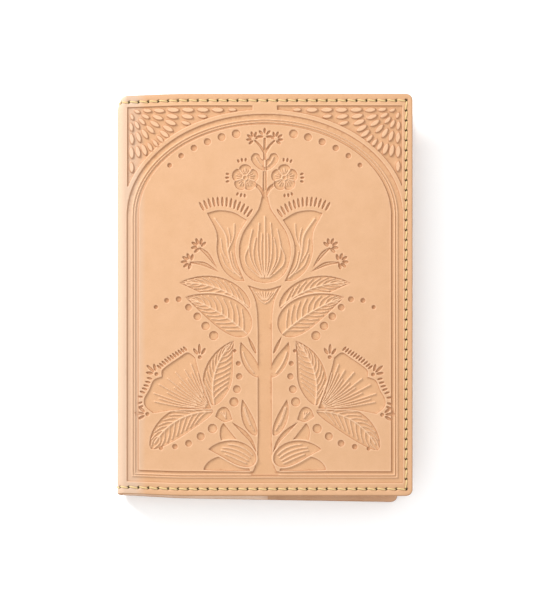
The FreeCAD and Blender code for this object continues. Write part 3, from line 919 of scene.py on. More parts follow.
@dataclass
class LeatherSheet:
    """One sheet of leather that follows a form, with rounded edges.

    It runs from the depth outer to the depth inner, and from the q start to the fore-edge. Its
    inner face has one row of vertices for every sparse rows of the outer. relief gives how much
    deeper the outer face is at each place, with the values its finish reads, and lift how much
    deeper the whole sheet is. Within squeeze of the fore-edge its columns close up to follow it.
    """

    form: PanelForm
    start: float
    outer: float
    inner: float
    cell: float
    rounding: float = 0.45
    sparse: int = 1
    relief: Optional[Relief] = None
    lift: Optional[Callable[[Array, Array], Array]] = None
    squeeze: float = 12.0
    edge_width: float = 1.5       # how far in from a cut edge its burnish fades
    bend_columns: int = 13

    def layout(self, inset: float) -> tuple[Array, Array]:
        """The grid of places on the sheet.

        Args:
            inset: How far inside the true outline its border runs.

        Returns:
            The q and v of each grid point.
        """
        form = self.form
        nominal = float(form.q_at(form.width))
        base = np.linspace(self.start, nominal, max(8, round((nominal - self.start) / self.cell)))
        if self.start < form.straight:
            bend = np.linspace(form.straight, form.bend_end, self.bend_columns)
            base = np.unique(np.concatenate([base, bend]).round(4))
        v = np.linspace(-1, 1, round(2 * form.half_height / self.cell))
        # Rows close up at head and tail, so that the corners come out round.
        close = 1.0 - np.cumsum([0.0, 0.25, 0.3, 0.4, 0.6, 0.8]) / form.half_height
        v = np.unique(np.concatenate([v, close, -close]).round(5)) * (form.half_height - inset)
        share = np.clip((base - nominal + self.squeeze) / self.squeeze, 0.0, 1.0)
        edge = form.fore_edge(v, inset)
        q = base[None, :] + share[None, :] * (edge[:, None] - nominal)
        return q, np.broadcast_to(v[:, None], q.shape)

    def deeper(self, q: Array, v: Array) -> Array:
        """How much deeper the whole sheet is at each place."""
        return self.lift(q, v) if self.lift else np.zeros(np.shape(q))

    def near_edge(self, q: Array, v: Array) -> Array:
        """How near each place is to a cut edge, from 0 well inside to 1 at the edge."""
        gap = np.minimum(self.form.fore_edge(v) - q, self.form.half_height - np.abs(v))
        return np.clip(1.0 - gap / self.edge_width, 0.0, 1.0)

    def make(self, name: str, finish: bpy.types.Material, keep: float = 1.0) -> bpy.types.Object:
        """Build the sheet.

        Args:
            name: The piece's name.
            finish: Its material.
            keep: The share of its faces that is kept.

        Returns:
            The object.
        """
        rounding = min(self.rounding, (self.inner - self.outer) / 2)
        draft = MeshDraft()
        plain = {"sunk": 0.0, "pit": 0.0, "wall": 0.0, "shine": 0.0}
        under = self.form.side is Side.BACK

        def add(q: Array, v: Array, w: Array, edge: Array, marks: dict[str, Array]) -> Array:
            """Add places on the sheet to the draft.

            Args:
                q: Distances along the hide.
                v: Distances up the book.
                w: Depths.
                edge: How near each is to a cut edge.
                marks: What the finish reads there.

            Returns:
                Their indices.
            """
            w = w + self.deeper(q, v)
            flat = np.stack([q, v, np.broadcast_to(w, q.shape)], axis=-1)
            return draft.add(self.form.place(q, v, w), flat=flat, edge=edge, **marks)

        def border(grid: Array) -> Array:
            """A grid's border: along the head, down the fore-edge and back along the tail."""
            return np.concatenate([grid[-1, :], grid[-2:0:-1, -1], grid[0, ::-1]])

        q, v = self.layout(rounding)
        rows, columns = q.shape
        sunk, marks = self.relief(q, v) if self.relief else (0.0, plain)
        face = add(q, v, self.outer + sunk, self.near_edge(q, v), marks)
        picks = np.unique(np.append(np.arange(0, rows, self.sparse), rows - 1))
        rear = add(q[picks], v[picks], self.inner, 0.0, plain)
        loops = [border(face)]
        steps = [(rounding * (1 - out), rounding * (1 - up)) for up, out in map(toward, (30, 60, 90))]
        rings = [(inset, self.outer + drop) for inset, drop in steps]
        rings += [(inset, self.inner - drop) for inset, drop in reversed(steps)]
        for inset, w in rings:
            ring_q, ring_v = (border(item) for item in self.layout(inset))
            loops.append(add(ring_q, ring_v, w, 1.0, plain))
        rim = add(border(q), border(v), self.inner, 0.6, plain)
        loops.append(rim)
        draft.skin(face, flip=under)
        draft.skin(np.array(loops), flip=under)

        by_row = rim[columns - 1:columns + rows - 1][::-1]
        rear[-1, :], rear[0, :] = rim[:columns], rim[columns + rows - 2:][::-1]
        draft.skin(rear[:, :-1], flip=not under)
        for index, (low, high) in enumerate(zip(picks[:-1], picks[1:])):
            strip = [rear[index + 1, -2], rear[index, -2], *by_row[low:high + 1]]
            draft.cap(strip, flip=not under)
        draft.cap([*face[:, 0], *[loop[0] for loop in loops[1:]], *rear[-2:0:-1, 0],
                   *[loop[-1] for loop in reversed(loops[1:])]], flip=under)
        return draft.make(name, finish, keep)


# ----------------------------------------------------------------------------- stitching
@dataclass
class Stitching:
    """The hand stitching of one panel, which runs over the bend on to the spine.

    pocket_start is the q of the pocket's mouth, and lining_depth and pocket_depth the depths of
    the inner face before it and after it.
    """

    form: PanelForm
    finish: bpy.types.Material
    inset: float
    pitch: float
    pocket_start: float
    lining_depth: float
    pocket_depth: float
    thread: float = 0.62
    slit: float = 1.5             # awl slit: its length, width, depth and slant
    slit_width: float = 1.05
    slit_depth: float = 0.9
    slant: float = 38.0
    trough: float = 0.16          # how far the thread draws the face in
    trough_width: float = 2.3
    spine_end: float = 1.2        # last holes, from the middle of the spine
    swing: float = 0.30           # a stitch leans from one side of the line to the other
    rise: float = 0.36            # how far it lies proud, as a share of its width
    lay: float = 1.9              # length in which the thread's plies turn by a third

    def runs(self) -> list[Array]:
        """Space the holes along the fore-edge, the head and the tail.

        Returns:
            The q and v of each hole, one array for each run.
        """
        form = self.form
        top = form.half_height - self.inset
        fore = form.fore_edge(np.array([top, -top]), self.inset)
        intervals = round(2 * top / self.pitch)
        height = np.linspace(-top, top, intervals + 1)
        edge = np.stack([np.linspace(fore[1], fore[0], intervals + 1), height], axis=1)
        runs = [edge]
        for level, corner in ((top, fore[0]), (-top, fore[1])):
            q = corner - self.pitch * np.arange(round((corner - self.spine_end) / self.pitch) + 1)
            runs.append(np.stack([q, np.full(len(q), level)], axis=1))
        return runs

    def headings(self, run: Array) -> Array:
        """The direction of a run at each of its holes."""
        step = np.gradient(run, axis=0)
        return step / np.linalg.norm(step, axis=1)[:, None]

    def marks(self, q: Array, v: Array) -> tuple[Array, Array]:
        """What the stitching does to the face of the leather.

        Args:
            q: Distances along the hide.
            v: Distances up the book.

        Returns:
            How deep the face is drawn in, and how much of each place lies in an awl slit.
        """
        form = self.form
        top = form.half_height - self.inset
        fore = form.fore_edge(np.zeros(1), self.inset)[0] + v * math.sin(math.radians(form.skew))
        beyond = np.maximum(q - fore, np.abs(v) - top)
        groove = np.exp(-(beyond / (0.5 * self.trough_width)) ** 2) * self.trough
        slits = np.zeros(q.shape)
        slant_cos, slant_sin = toward(self.slant)
        for run in self.runs():
            for (hole_q, hole_v), (along_q, along_v) in zip(run, self.headings(run)):
                rows = np.flatnonzero(np.abs(v[:, 0] - hole_v) < self.slit)
                if not len(rows):
                    continue
                rows = slice(rows[0], rows[-1] + 1)
                dq, dv = q[rows] - hole_q, v[rows] - hole_v
                axis_q = along_q * slant_cos - along_v * slant_sin
                axis_v = along_q * slant_sin + along_v * slant_cos
                length = (dq * axis_q + dv * axis_v) / (self.slit / 2)
                width = (dv * axis_q - dq * axis_v) / (self.slit_width / 2)
                slits[rows] = np.maximum(slits[rows], smooth(1.5 - np.hypot(length, width)))
        return groove + slits * self.slit_depth, slits

    def depth_on_inside(self, run: Array) -> Array:
        """How deep the inner face of the leather is under each place of a run."""
        past = smooth((run[:, 0] - self.pocket_start) / 1.0)
        return self.lining_depth + (self.pocket_depth - self.lining_depth) * past

    def make(self, name: str) -> bpy.types.Object:
        """Build the thread.

        Args:
            name: The piece's name.

        Returns:
            The object.
        """
        draft = MeshDraft()
        chance = np.random.default_rng(SEED + (self.form.side is Side.BACK))
        for run in self.runs():
            for first, second in zip(run[:-1], run[1:]):
                self.add_stitch(draft, first, second, False, chance)
                self.add_stitch(draft, first, second, True, chance)
        return draft.make(name, self.finish)

    def add_stitch(self, draft: MeshDraft, first: Array, second: Array, inside: bool,
                   chance: np.random.Generator) -> None:
        """Add one stitch: a twisted cord that rises from one hole and dives into the next.

        Args:
            draft: Where it is added.
            first: The q and v of the hole it leaves.
            second: Those of the hole it enters.
            inside: Whether it lies on the inner face.
            chance: Where its small irregularities come from.
        """
        rings, sides = ((15, 9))
        part = np.linspace(0.05, 0.95, rings)
        run = second - first
        length = float(np.hypot(*run))
        run = run / length
        across = np.array([-run[1], run[0]])
        swing = (-self.swing if inside else self.swing) + chance.normal(0, 0.04)
        rise = self.thread * (self.rise + chance.normal(0, 0.03))
        over = np.clip(np.sin((part - 0.05) / 0.9 * math.pi), 0, 1) ** 0.42
        place = first + np.outer(part * length, run) + np.outer(swing * np.cos(part * math.pi), across)
        sign = 1.0 if inside else -1.0
        base = self.depth_on_inside(place) if inside else np.full(rings, self.trough)
        w = base + sign * ((rise + self.thread) * over - self.thread)
        centre = self.form.place(place[:, 0], place[:, 1], w)
        outward = self.form.place(place[:, 0], place[:, 1], w + sign * 0.2) - centre
        tangent = np.gradient(centre, axis=0)
        tangent /= np.linalg.norm(tangent, axis=1)[:, None]
        outward /= np.linalg.norm(outward, axis=1)[:, None]
        side = np.cross(tangent, outward)
        side /= np.linalg.norm(side, axis=1)[:, None]
        outward = np.cross(side, tangent)
        angle = np.linspace(0, 2 * math.pi, sides, endpoint=False)
        twist = part * length / self.lay * 2 * math.pi / 3 + chance.uniform(0, 6)
        # Three plies show as ridges, and the pull of sewing flattens the thread a little.
        girth = self.thread / 2 * (1 + 0.10 * np.cos(3 * (angle[None, :] - 3 * twist[:, None])))
        girth = girth * (0.86 + 0.14 * over[:, None])
        places = (centre[:, None, :] + MM * girth[..., None]
                  * (1.08 * np.cos(angle)[None, :, None] * side[:, None, :]
                     + 0.94 * np.sin(angle)[None, :, None] * outward[:, None, :]))
        # Painted shade where the thread dives into its holes.
        shade = np.broadcast_to(1 - over[:, None], girth.shape)
        along = np.broadcast_to((part * length)[:, None], girth.shape) + chance.uniform(0, 50)
        around = np.broadcast_to(angle[None, :] * self.thread / 2, girth.shape)
        flat = np.stack([along, around, 0 * girth], axis=-1)
        grid = draft.add(places, flat=flat, pit=shade)
        draft.skin(np.hstack([grid, grid[:, :1]]))
        draft.cap(grid[0])
        draft.cap(grid[-1], flip=True)


# ----------------------------------------------------------------------------- finishes
def hex_to_linear(code: str) -> tuple[float, float, float, float]:
    """Turn an sRGB colour code into the linear colour that a shader takes.

    Args:
        code: Six hex digits.

    Returns:
        Red, green, blue and alpha.
    """
    parts = [int(code[index:index + 2], 16) / 255 for index in (0, 2, 4)]
    linear = [part / 12.92 if part <= 0.04045 else ((part + 0.055) / 1.055) ** 2.4 for part in parts]
    return linear[0], linear[1], linear[2], 1.0


def add_node(tree: bpy.types.NodeTree, kind: str, settings: dict[str, object],
             inputs: dict[object, object]) -> bpy.types.Node:
    """Add a node to a material.

    Args:
        tree: The material's nodes.
        kind: The node's type.
        settings: Its own settings, by name.
        inputs: What its sockets are given, by name or number: a value, or another node's output.

    Returns:
        The node.
    """
    node = tree.nodes.new(kind)
    for name, value in settings.items():
        setattr(node, name, value)
    for socket, value in inputs.items():
        if isinstance(value, bpy.types.NodeSocket):
            tree.links.new(value, node.inputs[socket])
        else:
            node.inputs[socket].default_value = value
    return node


def new_finish(name: str) -> tuple[bpy.types.Material, bpy.types.NodeTree]:
    """Start a material with no nodes.

    Args:
        name: Its name.

    Returns:
        The material and its empty tree.
    """
    material = bpy.data.materials.new(name)
    material.use_nodes = True
    material.node_tree.nodes.clear()
    return material, material.node_tree


@dataclass(frozen=True)
class LeatherFinish:
    """Vegetable-tanned leather, left in its natural colour and oiled a little.

    The grain is a net of fine creases over a slower mottling, in light and dark. The fold by the
    spine is painted lighter, a painted highlight where the bend faces the lamp, and the panel grows
    darker towards the fore-edge. Pressed floors are a shade darker, their walls darkened by
    burnishing and by painted shade (crease), and what stands beside them is lightened by a painted
    highlight. Deeper than flesh_depth is the fibrous flesh side. Cut edges are brown, and the awl
    slits are painted dark, a painted shade for their depth.
    """

    name: str
    light: str
    dark: str
    pressed: str
    cut: str
    flesh: str
    flesh_depth: float
    # Painted highlight where the bend by the spine faces the lamp: its colour, where it ends and how
    # far it fades.
    bend_highlight: str = "BEA28B"
    bend_highlight_end: float = 15.5        # q, from the middle of the spine
    bend_highlight_reach: float = 5.0
    # Colour of the painted highlight on ridges, lips and raised shapes.
    highlight_tint: str = "D2AC8B"
    # Walls of pressed shapes, and floors of small ones: darkened by burnishing and by painted shade.
    crease: str = "8C4A1E"
    # The panel grows darker towards the fore-edge.
    fore_edge_dark: str = "AE7F58"
    fore_edge_dark_from: float = 126.0
    # Colour of the painted shade inside the awl slits.
    slit: str = "1E1006"
    pore: float = 0.55            # hair pores stand about half a millimetre apart
    mottle: float = 9.0
    crease_depth: float = 0.05
    roughness: float = 0.56

    def make(self) -> bpy.types.Material:
        """Build the material.

        Returns:
            The material.
        """
        material, tree = new_finish(self.name)
        flat, sunk, pit, edge, shine, wall = (
            add_node(tree, "ShaderNodeAttribute", {"attribute_name": name}, {})
            for name in ("flat", "sunk", "pit", "edge", "shine", "wall"))
        place = flat.outputs["Vector"]
        where = add_node(tree, "ShaderNodeSeparateXYZ", {}, {0: place})
        mottle = add_node(tree, "ShaderNodeTexNoise", {}, {
            "Vector": place, "Scale": 1 / self.mottle, "Detail": 5.0, "Roughness": 0.6})
        net = add_node(tree, "ShaderNodeTexVoronoi", {"feature": "DISTANCE_TO_EDGE"}, {
            "Vector": place, "Scale": 1 / self.pore, "Randomness": 1.0})
        fibre = add_node(tree, "ShaderNodeTexNoise", {}, {
            "Vector": place, "Scale": 2 / self.pore, "Detail": 3.0, "Roughness": 0.6})
        flesh = add_node(tree, "ShaderNodeMath", {"operation": "GREATER_THAN"}, {
            0: where.outputs["Z"], 1: self.flesh_depth})
        floor = add_node(tree, "ShaderNodeMath", {"operation": "MULTIPLY"}, {
            0: sunk.outputs["Fac"], 1: 0.22})
        level, along = mottle.outputs["Fac"], where.outputs["X"]
        # Each row: what is read, the two values it runs between, and what it gives at each.
        eased = [add_node(tree, "ShaderNodeMapRange", {"interpolation_type": easing}, {
            "Value": source, "From Min": low, "From Max": high, "To Min": start, "To Max": end,
        }).outputs["Result"] for source, low, high, start, end, easing in (
            (net.outputs["Distance"], 0.0, 0.12, 0.0, 1.0, "LINEAR"),
            (level, 0.36, 0.66, 0.0, 1.0, "LINEAR"),
            (level, 0.3, 0.7, self.roughness - 0.06, self.roughness + 0.06, "LINEAR"),
            (along, self.bend_highlight_end, self.bend_highlight_end + self.bend_highlight_reach, 0.9, 0.0, "LINEAR"),
            (along, 2.0, 7.0, 0.15, 1.0, "LINEAR"),
            (along, self.fore_edge_dark_from, self.fore_edge_dark_from + 14.0, 0.0, 0.08, "SMOOTHSTEP"),
            (wall.outputs["Fac"], 0.25, 1.0, 0.0, 0.66, "LINEAR"),
            (edge.outputs["Fac"], 0.72, 1.0, 0.0, 1.0, "LINEAR"))]
        crease, even, dull, by_fold, off_spine, at_fore, burnish_and_shade, at_edge = eased
        # Painted highlight on the bend by the spine, faded out towards the spine's middle.
        bend_highlight_share = add_node(tree, "ShaderNodeMath", {"operation": "MULTIPLY"}, {
            0: by_fold, 1: off_spine})
        # Layers in turn: mottle, painted highlight on the bend, a darker fore-edge, pressed floors,
        # painted highlight, burnishing and painted shade on walls, flesh side, cut edges.
        colour = hex_to_linear(self.light)
        for share, over in ((even, self.dark), (bend_highlight_share.outputs[0], self.bend_highlight),
                            (at_fore, self.fore_edge_dark), (floor.outputs[0], self.pressed),
                            (shine.outputs["Fac"], self.highlight_tint), (burnish_and_shade, self.crease),
                            (flesh.outputs[0], self.flesh), (at_edge, self.cut)):
            colour = add_node(tree, "ShaderNodeMix", {"data_type": "RGBA"}, {
                0: share, 6: colour, 7: hex_to_linear(over)}).outputs[2]
        pores = add_node(tree, "ShaderNodeMapRange", {}, {
            "Value": crease, "From Min": 0.0, "From Max": 1.0, "To Min": 0.94, "To Max": 1.0})
        pored = add_node(tree, "ShaderNodeMix", {"data_type": "RGBA", "blend_type": "MULTIPLY"}, {
            0: 1.0, 6: colour, 7: pores.outputs["Result"]})
        # Painted shade inside the awl slits.
        holed = add_node(tree, "ShaderNodeMix", {"data_type": "RGBA"}, {
            0: pit.outputs["Fac"], 6: pored.outputs[2], 7: hex_to_linear(self.slit)})
        grain = add_node(tree, "ShaderNodeMath", {"operation": "MULTIPLY_ADD"}, {
            0: fibre.outputs["Fac"], 1: 0.5, 2: crease})
        bump = add_node(tree, "ShaderNodeBump", {}, {
            "Height": grain.outputs[0], "Strength": 0.5, "Distance": self.crease_depth * MM})
        body = add_node(tree, "ShaderNodeBsdfPrincipled", {}, {
            "Base Color": holed.outputs[2], "Roughness": dull, "Normal": bump.outputs["Normal"],
            "IOR": 1.45, "Specular IOR Level": 0.35})
        add_node(tree, "ShaderNodeOutputMaterial", {}, {"Surface": body.outputs[0]})
        return material


@dataclass(frozen=True)
class ThreadFinish:
    """Waxed linen thread: cream, a little glossy, and darkened by painted shade where it dives into a
    hole.

    Its fibres are drawn 0.22 mm apart, coarser than linen's, so that they show.
    """

    name: str = "waxed_linen_thread"
    light: str = "D6BE8C"
    dark: str = "B99C62"
    deep: str = "3A2812"
    # Colour of the painted shade where the thread dives into a hole.
    fibre: float = 0.22
    roughness: float = 0.48

    def make(self) -> bpy.types.Material:
        """Build the material.

        Returns:
            The material.
        """
        material, tree = new_finish(self.name)
        flat = add_node(tree, "ShaderNodeAttribute", {"attribute_name": "flat"}, {})
        pit = add_node(tree, "ShaderNodeAttribute", {"attribute_name": "pit"}, {})
        lay = add_node(tree, "ShaderNodeMapping", {}, {
            "Vector": flat.outputs["Vector"], "Rotation": (0.0, 0.0, math.radians(40)),
            "Scale": (0.35, 1.0, 1.0)})
        fibres = add_node(tree, "ShaderNodeTexNoise", {}, {
            "Vector": lay.outputs["Vector"], "Scale": 1 / self.fibre, "Detail": 3.0})
        colour = add_node(tree, "ShaderNodeMix", {"data_type": "RGBA"}, {
            0: fibres.outputs["Fac"], 6: hex_to_linear(self.light), 7: hex_to_linear(self.dark)})
        # Painted shade where the thread dives into a hole.
        diving = add_node(tree, "ShaderNodeMapRange", {}, {
            "Value": pit.outputs["Fac"], "From Min": 0.35, "From Max": 1.0,
            "To Min": 0.0, "To Max": 1.0})
        shaded = add_node(tree, "ShaderNodeMix", {"data_type": "RGBA"}, {
            0: diving.outputs["Result"], 6: colour.outputs[2], 7: hex_to_linear(self.deep)})
        bump = add_node(tree, "ShaderNodeBump", {}, {
            "Height": fibres.outputs["Fac"], "Strength": 0.6, "Distance": 0.04 * MM})
        body = add_node(tree, "ShaderNodeBsdfPrincipled", {}, {
            "Base Color": shaded.outputs[2], "Roughness": self.roughness,
            "Normal": bump.outputs["Normal"], "IOR": 1.5, "Specular IOR Level": 0.4})
        add_node(tree, "ShaderNodeOutputMaterial", {}, {"Surface": body.outputs[0]})
        return material


@dataclass(frozen=True)
class PaperFinish:
    """Paper or card: matt pressed fibre with specks, and faint streaks along the sheet."""

    name: str
    light: str
    dark: str
    fibre: float
    roughness: float = 0.8
    cloud: float = 12.0           # how far apart a sheet's cloudy places are

    def make(self) -> bpy.types.Material:
        """Build the material.

        Returns:
            The material.
        """
        material, tree = new_finish(self.name)
        where = add_node(tree, "ShaderNodeTexCoord", {}, {})
        lay = add_node(tree, "ShaderNodeMapping", {}, {
            "Vector": where.outputs["Object"], "Scale": (1.0, 0.4, 1.0)})
        fibres = add_node(tree, "ShaderNodeTexNoise", {}, {
            "Vector": lay.outputs["Vector"], "Scale": 1 / (self.fibre * MM), "Detail": 4.0,
            "Roughness": 0.65})
        clouds = add_node(tree, "ShaderNodeTexNoise", {}, {
            "Vector": where.outputs["Object"], "Scale": 1 / (self.cloud * MM), "Detail": 3.0})
        blend = add_node(tree, "ShaderNodeMath", {"operation": "MULTIPLY"}, {
            0: fibres.outputs["Fac"], 1: clouds.outputs["Fac"]})
        spread = add_node(tree, "ShaderNodeMapRange", {}, {
            "Value": blend.outputs[0], "From Min": 0.0, "From Max": 0.36,
            "To Min": 0.0, "To Max": 1.0})
        colour = add_node(tree, "ShaderNodeMix", {"data_type": "RGBA"}, {
            0: spread.outputs["Result"], 6: hex_to_linear(self.dark), 7: hex_to_linear(self.light)})
        bump = add_node(tree, "ShaderNodeBump", {}, {
            "Height": fibres.outputs["Fac"], "Strength": 0.35, "Distance": 0.03 * MM})
        body = add_node(tree, "ShaderNodeBsdfPrincipled", {}, {
            "Base Color": colour.outputs[2], "Roughness": self.roughness,
            "Normal": bump.outputs["Normal"], "IOR": 1.5, "Specular IOR Level": 0.3})
        add_node(tree, "ShaderNodeOutputMaterial", {}, {"Surface": body.outputs[0]})
        return material


@dataclass(frozen=True)
class TableFinish:
    """A table top in matt white paint, which shows soft shadows and nothing else."""

    name: str = "pale_table_top"
    colour: str = "FAFAFA"

    def make(self) -> bpy.types.Material:
        """Build the material.

        Returns:
            The material.
        """
        material, tree = new_finish(self.name)
        body = add_node(tree, "ShaderNodeBsdfPrincipled", {}, {
            "Base Color": hex_to_linear(self.colour), "Roughness": 0.9, "Specular IOR Level": 0.1})
        add_node(tree, "ShaderNodeOutputMaterial", {}, {"Surface": body.outputs[0]})
        return material


# ----------------------------------------------------------------------------- the object
@dataclass
class Cover:
    """The leather cover: hides, linings, pockets and stitching of both panels."""

    hide: float = 1.8
    lining: float = 0.6
    pocket: float = 0.9
    slot: float = 0.98            # room for the notebook's board
    slot_rim: float = 3.0         # sewn margin, where the pocket starts to rise over the slot
    slot_slope: float = 2.4
    skew: float = 1.0
    shift: float = 2.0
    press: float = 0.6            # depth of the pressed design
    proud: float = 0.45           # how much of it is pushed up beside it
    waver: float = 0.006          # a hide is never quite flat
    border: float = 4.0           # leather round the design that stays plain
    stitch_inset: float = 3.2
    stitch_pitch: float = 4.7
    pieces: list[bpy.types.Object] = field(default_factory=list)

    def __post_init__(self) -> None:
        """Take the sizes that the cover has in the design."""
        low, high = (np.array(corner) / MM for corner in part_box("outer_front"))
        back_low, back_high = (np.array(corner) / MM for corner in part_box("outer_back"))
        self.face = float(low[0])
        self.half_height = float(high[1] - low[1]) / 2
        lean = math.radians(self.skew)
        width = (float(back_high[0] - back_low[0]) - self.half_height * math.sin(lean)) / math.cos(lean)
        shape = (self.face, float(high[2]), self.half_height)
        self.front = PanelForm(Side.FRONT, *shape, float(high[0] - low[0]), 0.0, self.shift)
        self.back = PanelForm(Side.BACK, *shape, width, self.skew, self.shift, pinch=2.6)
        self.finishes = {
            # Vegetable-tanned hide, cased and pressed: warm tan, darker where it is cut.
            "hide": LeatherFinish("natural_tooling_leather", "C19773", "BD936E", "BE8A5B",
                                  "A67A54", "B6966F", 1.3).make(),
            # Skiver split from the grain side and not oiled: paler, finer and matt.
            "lining": LeatherFinish("thin_lining_leather", "E8CBB4", "DFBFA7", "CFA98B", "B58A6B",
                                    "E2C4AC", 9.0, bend_highlight="E8CBB4", pore=0.4,
                                    crease_depth=0.03).make(),
            # The same hide as outside, pared thin, which has browned less in the dark.
            "pocket": LeatherFinish("pocket_leather", "CBA17F", "C29675", "B88B69", "96663F",
                                    "C79C79", 9.0, bend_highlight="CBA17F", pore=0.45,
                                    crease_depth=0.04).make(),
            "thread": ThreadFinish().make(),
        }

    def cell(self, fine: float) -> float:
        """The size of a mesh cell: the one asked for."""
        return fine

    def attach(self, piece: bpy.types.Object, form: PanelForm, slot: str, *nodes: str) -> None:
        """Fix a piece that runs over the bend in place, hide the design's nodes that it replaces, and
        keep it.

        Args:
            piece: The piece.
            form: How its panel lies.
            slot: The record's slot for its material; not used.
            nodes: The design's nodes that it replaces.
        """
        if form.side is Side.FRONT:
            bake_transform(piece)
        else:
            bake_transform(piece)
        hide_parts(*nodes)
        self.pieces.append(piece)

    def relief(self, form: PanelForm, stitching: Stitching, tooling: Optional[Tooling]) -> Relief:
        """What is done to the outer face of one half's hide.

        Args:
            form: How it lies.
            stitching: What is sewn through it.
            tooling: The design pressed into it, if any.

        Returns:
            A function of q and v that gives how deep the face is and what its finish reads.
        """
        def at(q: Array, v: Array) -> tuple[Array, dict[str, Array]]:
            """Look up the face at some places.

            Args:
                q: Distances along the hide.
                v: Distances up the book.

            Returns:
                How deep the face is, and the values that its finish reads.
            """
            deep, slits = stitching.marks(q, v)
            deep = deep + self.waver * (np.sin(1.9 * q + 1.3 * np.sin(0.7 * v)) * np.sin(2.3 * v)
                                        + np.sin(1.1 * v - 1.7 * q))
            sunk = wall = shine = np.zeros(q.shape)
            if tooling:
                across = q - form.bend_end + form.bend_radius - form.width / 2
                on_panel = np.abs(across) < form.width / 2 - self.border
                sunk, lip, wall, shine = (
                    tooling.sample(layer, across, v) * on_panel
                    for layer in (tooling.sunk, tooling.lip, tooling.wall_mark, tooling.shine))
                deep = deep + self.press * (sunk - self.proud * lip)
            # pit carries painted shade into the awl slits; shine and wall carry painted highlight and
            # painted shade.
            return deep, {"sunk": sunk, "pit": slits, "wall": wall, "shine": shine}

        return at

    def build_panel(self, form: PanelForm, tooling: Optional[Tooling]) -> None:
        """Build one half of the cover.

        Args:
            form: How it lies.
            tooling: The design pressed into its outer face, if any.
        """
        side, in_front = form.side.value, form.side is Side.FRONT
        pocket_low, pocket_high = (np.array(corner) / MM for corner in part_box(f"pocket_{side}"))
        mouth = float(form.q_at(form.width - (pocket_high[0] - pocket_low[0]) if in_front
                                else pocket_low[0] - self.face))
        inside = self.hide + self.lining
        stitching = Stitching(form, self.finishes["thread"], self.stitch_inset, self.stitch_pitch,
                              mouth, inside, inside + self.pocket)

        def nodes(layer: str) -> list[str]:
            """The design's nodes that one layer replaces: the front half has the spine too."""
            return [f"{layer}_{side}"] + [f"{layer}_spine"] * in_front

        def over_slot(q: Array, v: Array) -> Array:
            """How far the pocket stands off the lining.

            Args:
                q: Distances along the hide.
                v: Distances up the book.

            Returns:
                The distances, over the slot for the notebook's board and off it.
            """
            gap = np.minimum(form.fore_edge(np.zeros_like(v)) - q, form.half_height - np.abs(v))
            return self.slot * smooth((gap - self.slot_rim) / self.slot_slope)

        # The cell, and the share of faces kept once the plain stretches are thinned.
        fine, share = (0.25, 0.185) if tooling else (0.3, 0.14)
        hide = LeatherSheet(form, 0.0, 0.0, self.hide, self.cell(fine), 0.5, 8,
                            self.relief(form, stitching, tooling))
        self.attach(hide.make(f"hide_{side}", self.finishes["hide"], share),
                    form, "hide", *nodes("outer"))
        lining = LeatherSheet(form, 0.0, self.hide + 0.02, inside, 1.6, 0.25)
        self.attach(lining.make(f"lining_of_{side}", self.finishes["lining"]), form,
                    "lining_leather", *nodes("lining"))
        pocket = LeatherSheet(form, mouth, inside + 0.01, inside + self.pocket, 1.2, 0.35,
                              lift=over_slot)
        piece = pocket.make(f"board_pocket_{side}", self.finishes["pocket"])
        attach(piece, f"{side}_cover")
        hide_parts(f"pocket_{side}")
        self.pieces.append(piece)
        self.attach(stitching.make(f"thread_{side}"), form, "waxed_thread", *nodes("stitching"))

    def build(self) -> None:
        """Build both halves."""
        tooling = Tooling(self.front.width / 2, self.half_height, 0.15)
        tooling.draw()
        self.build_panel(self.front, tooling)
        self.build_panel(self.back, None)


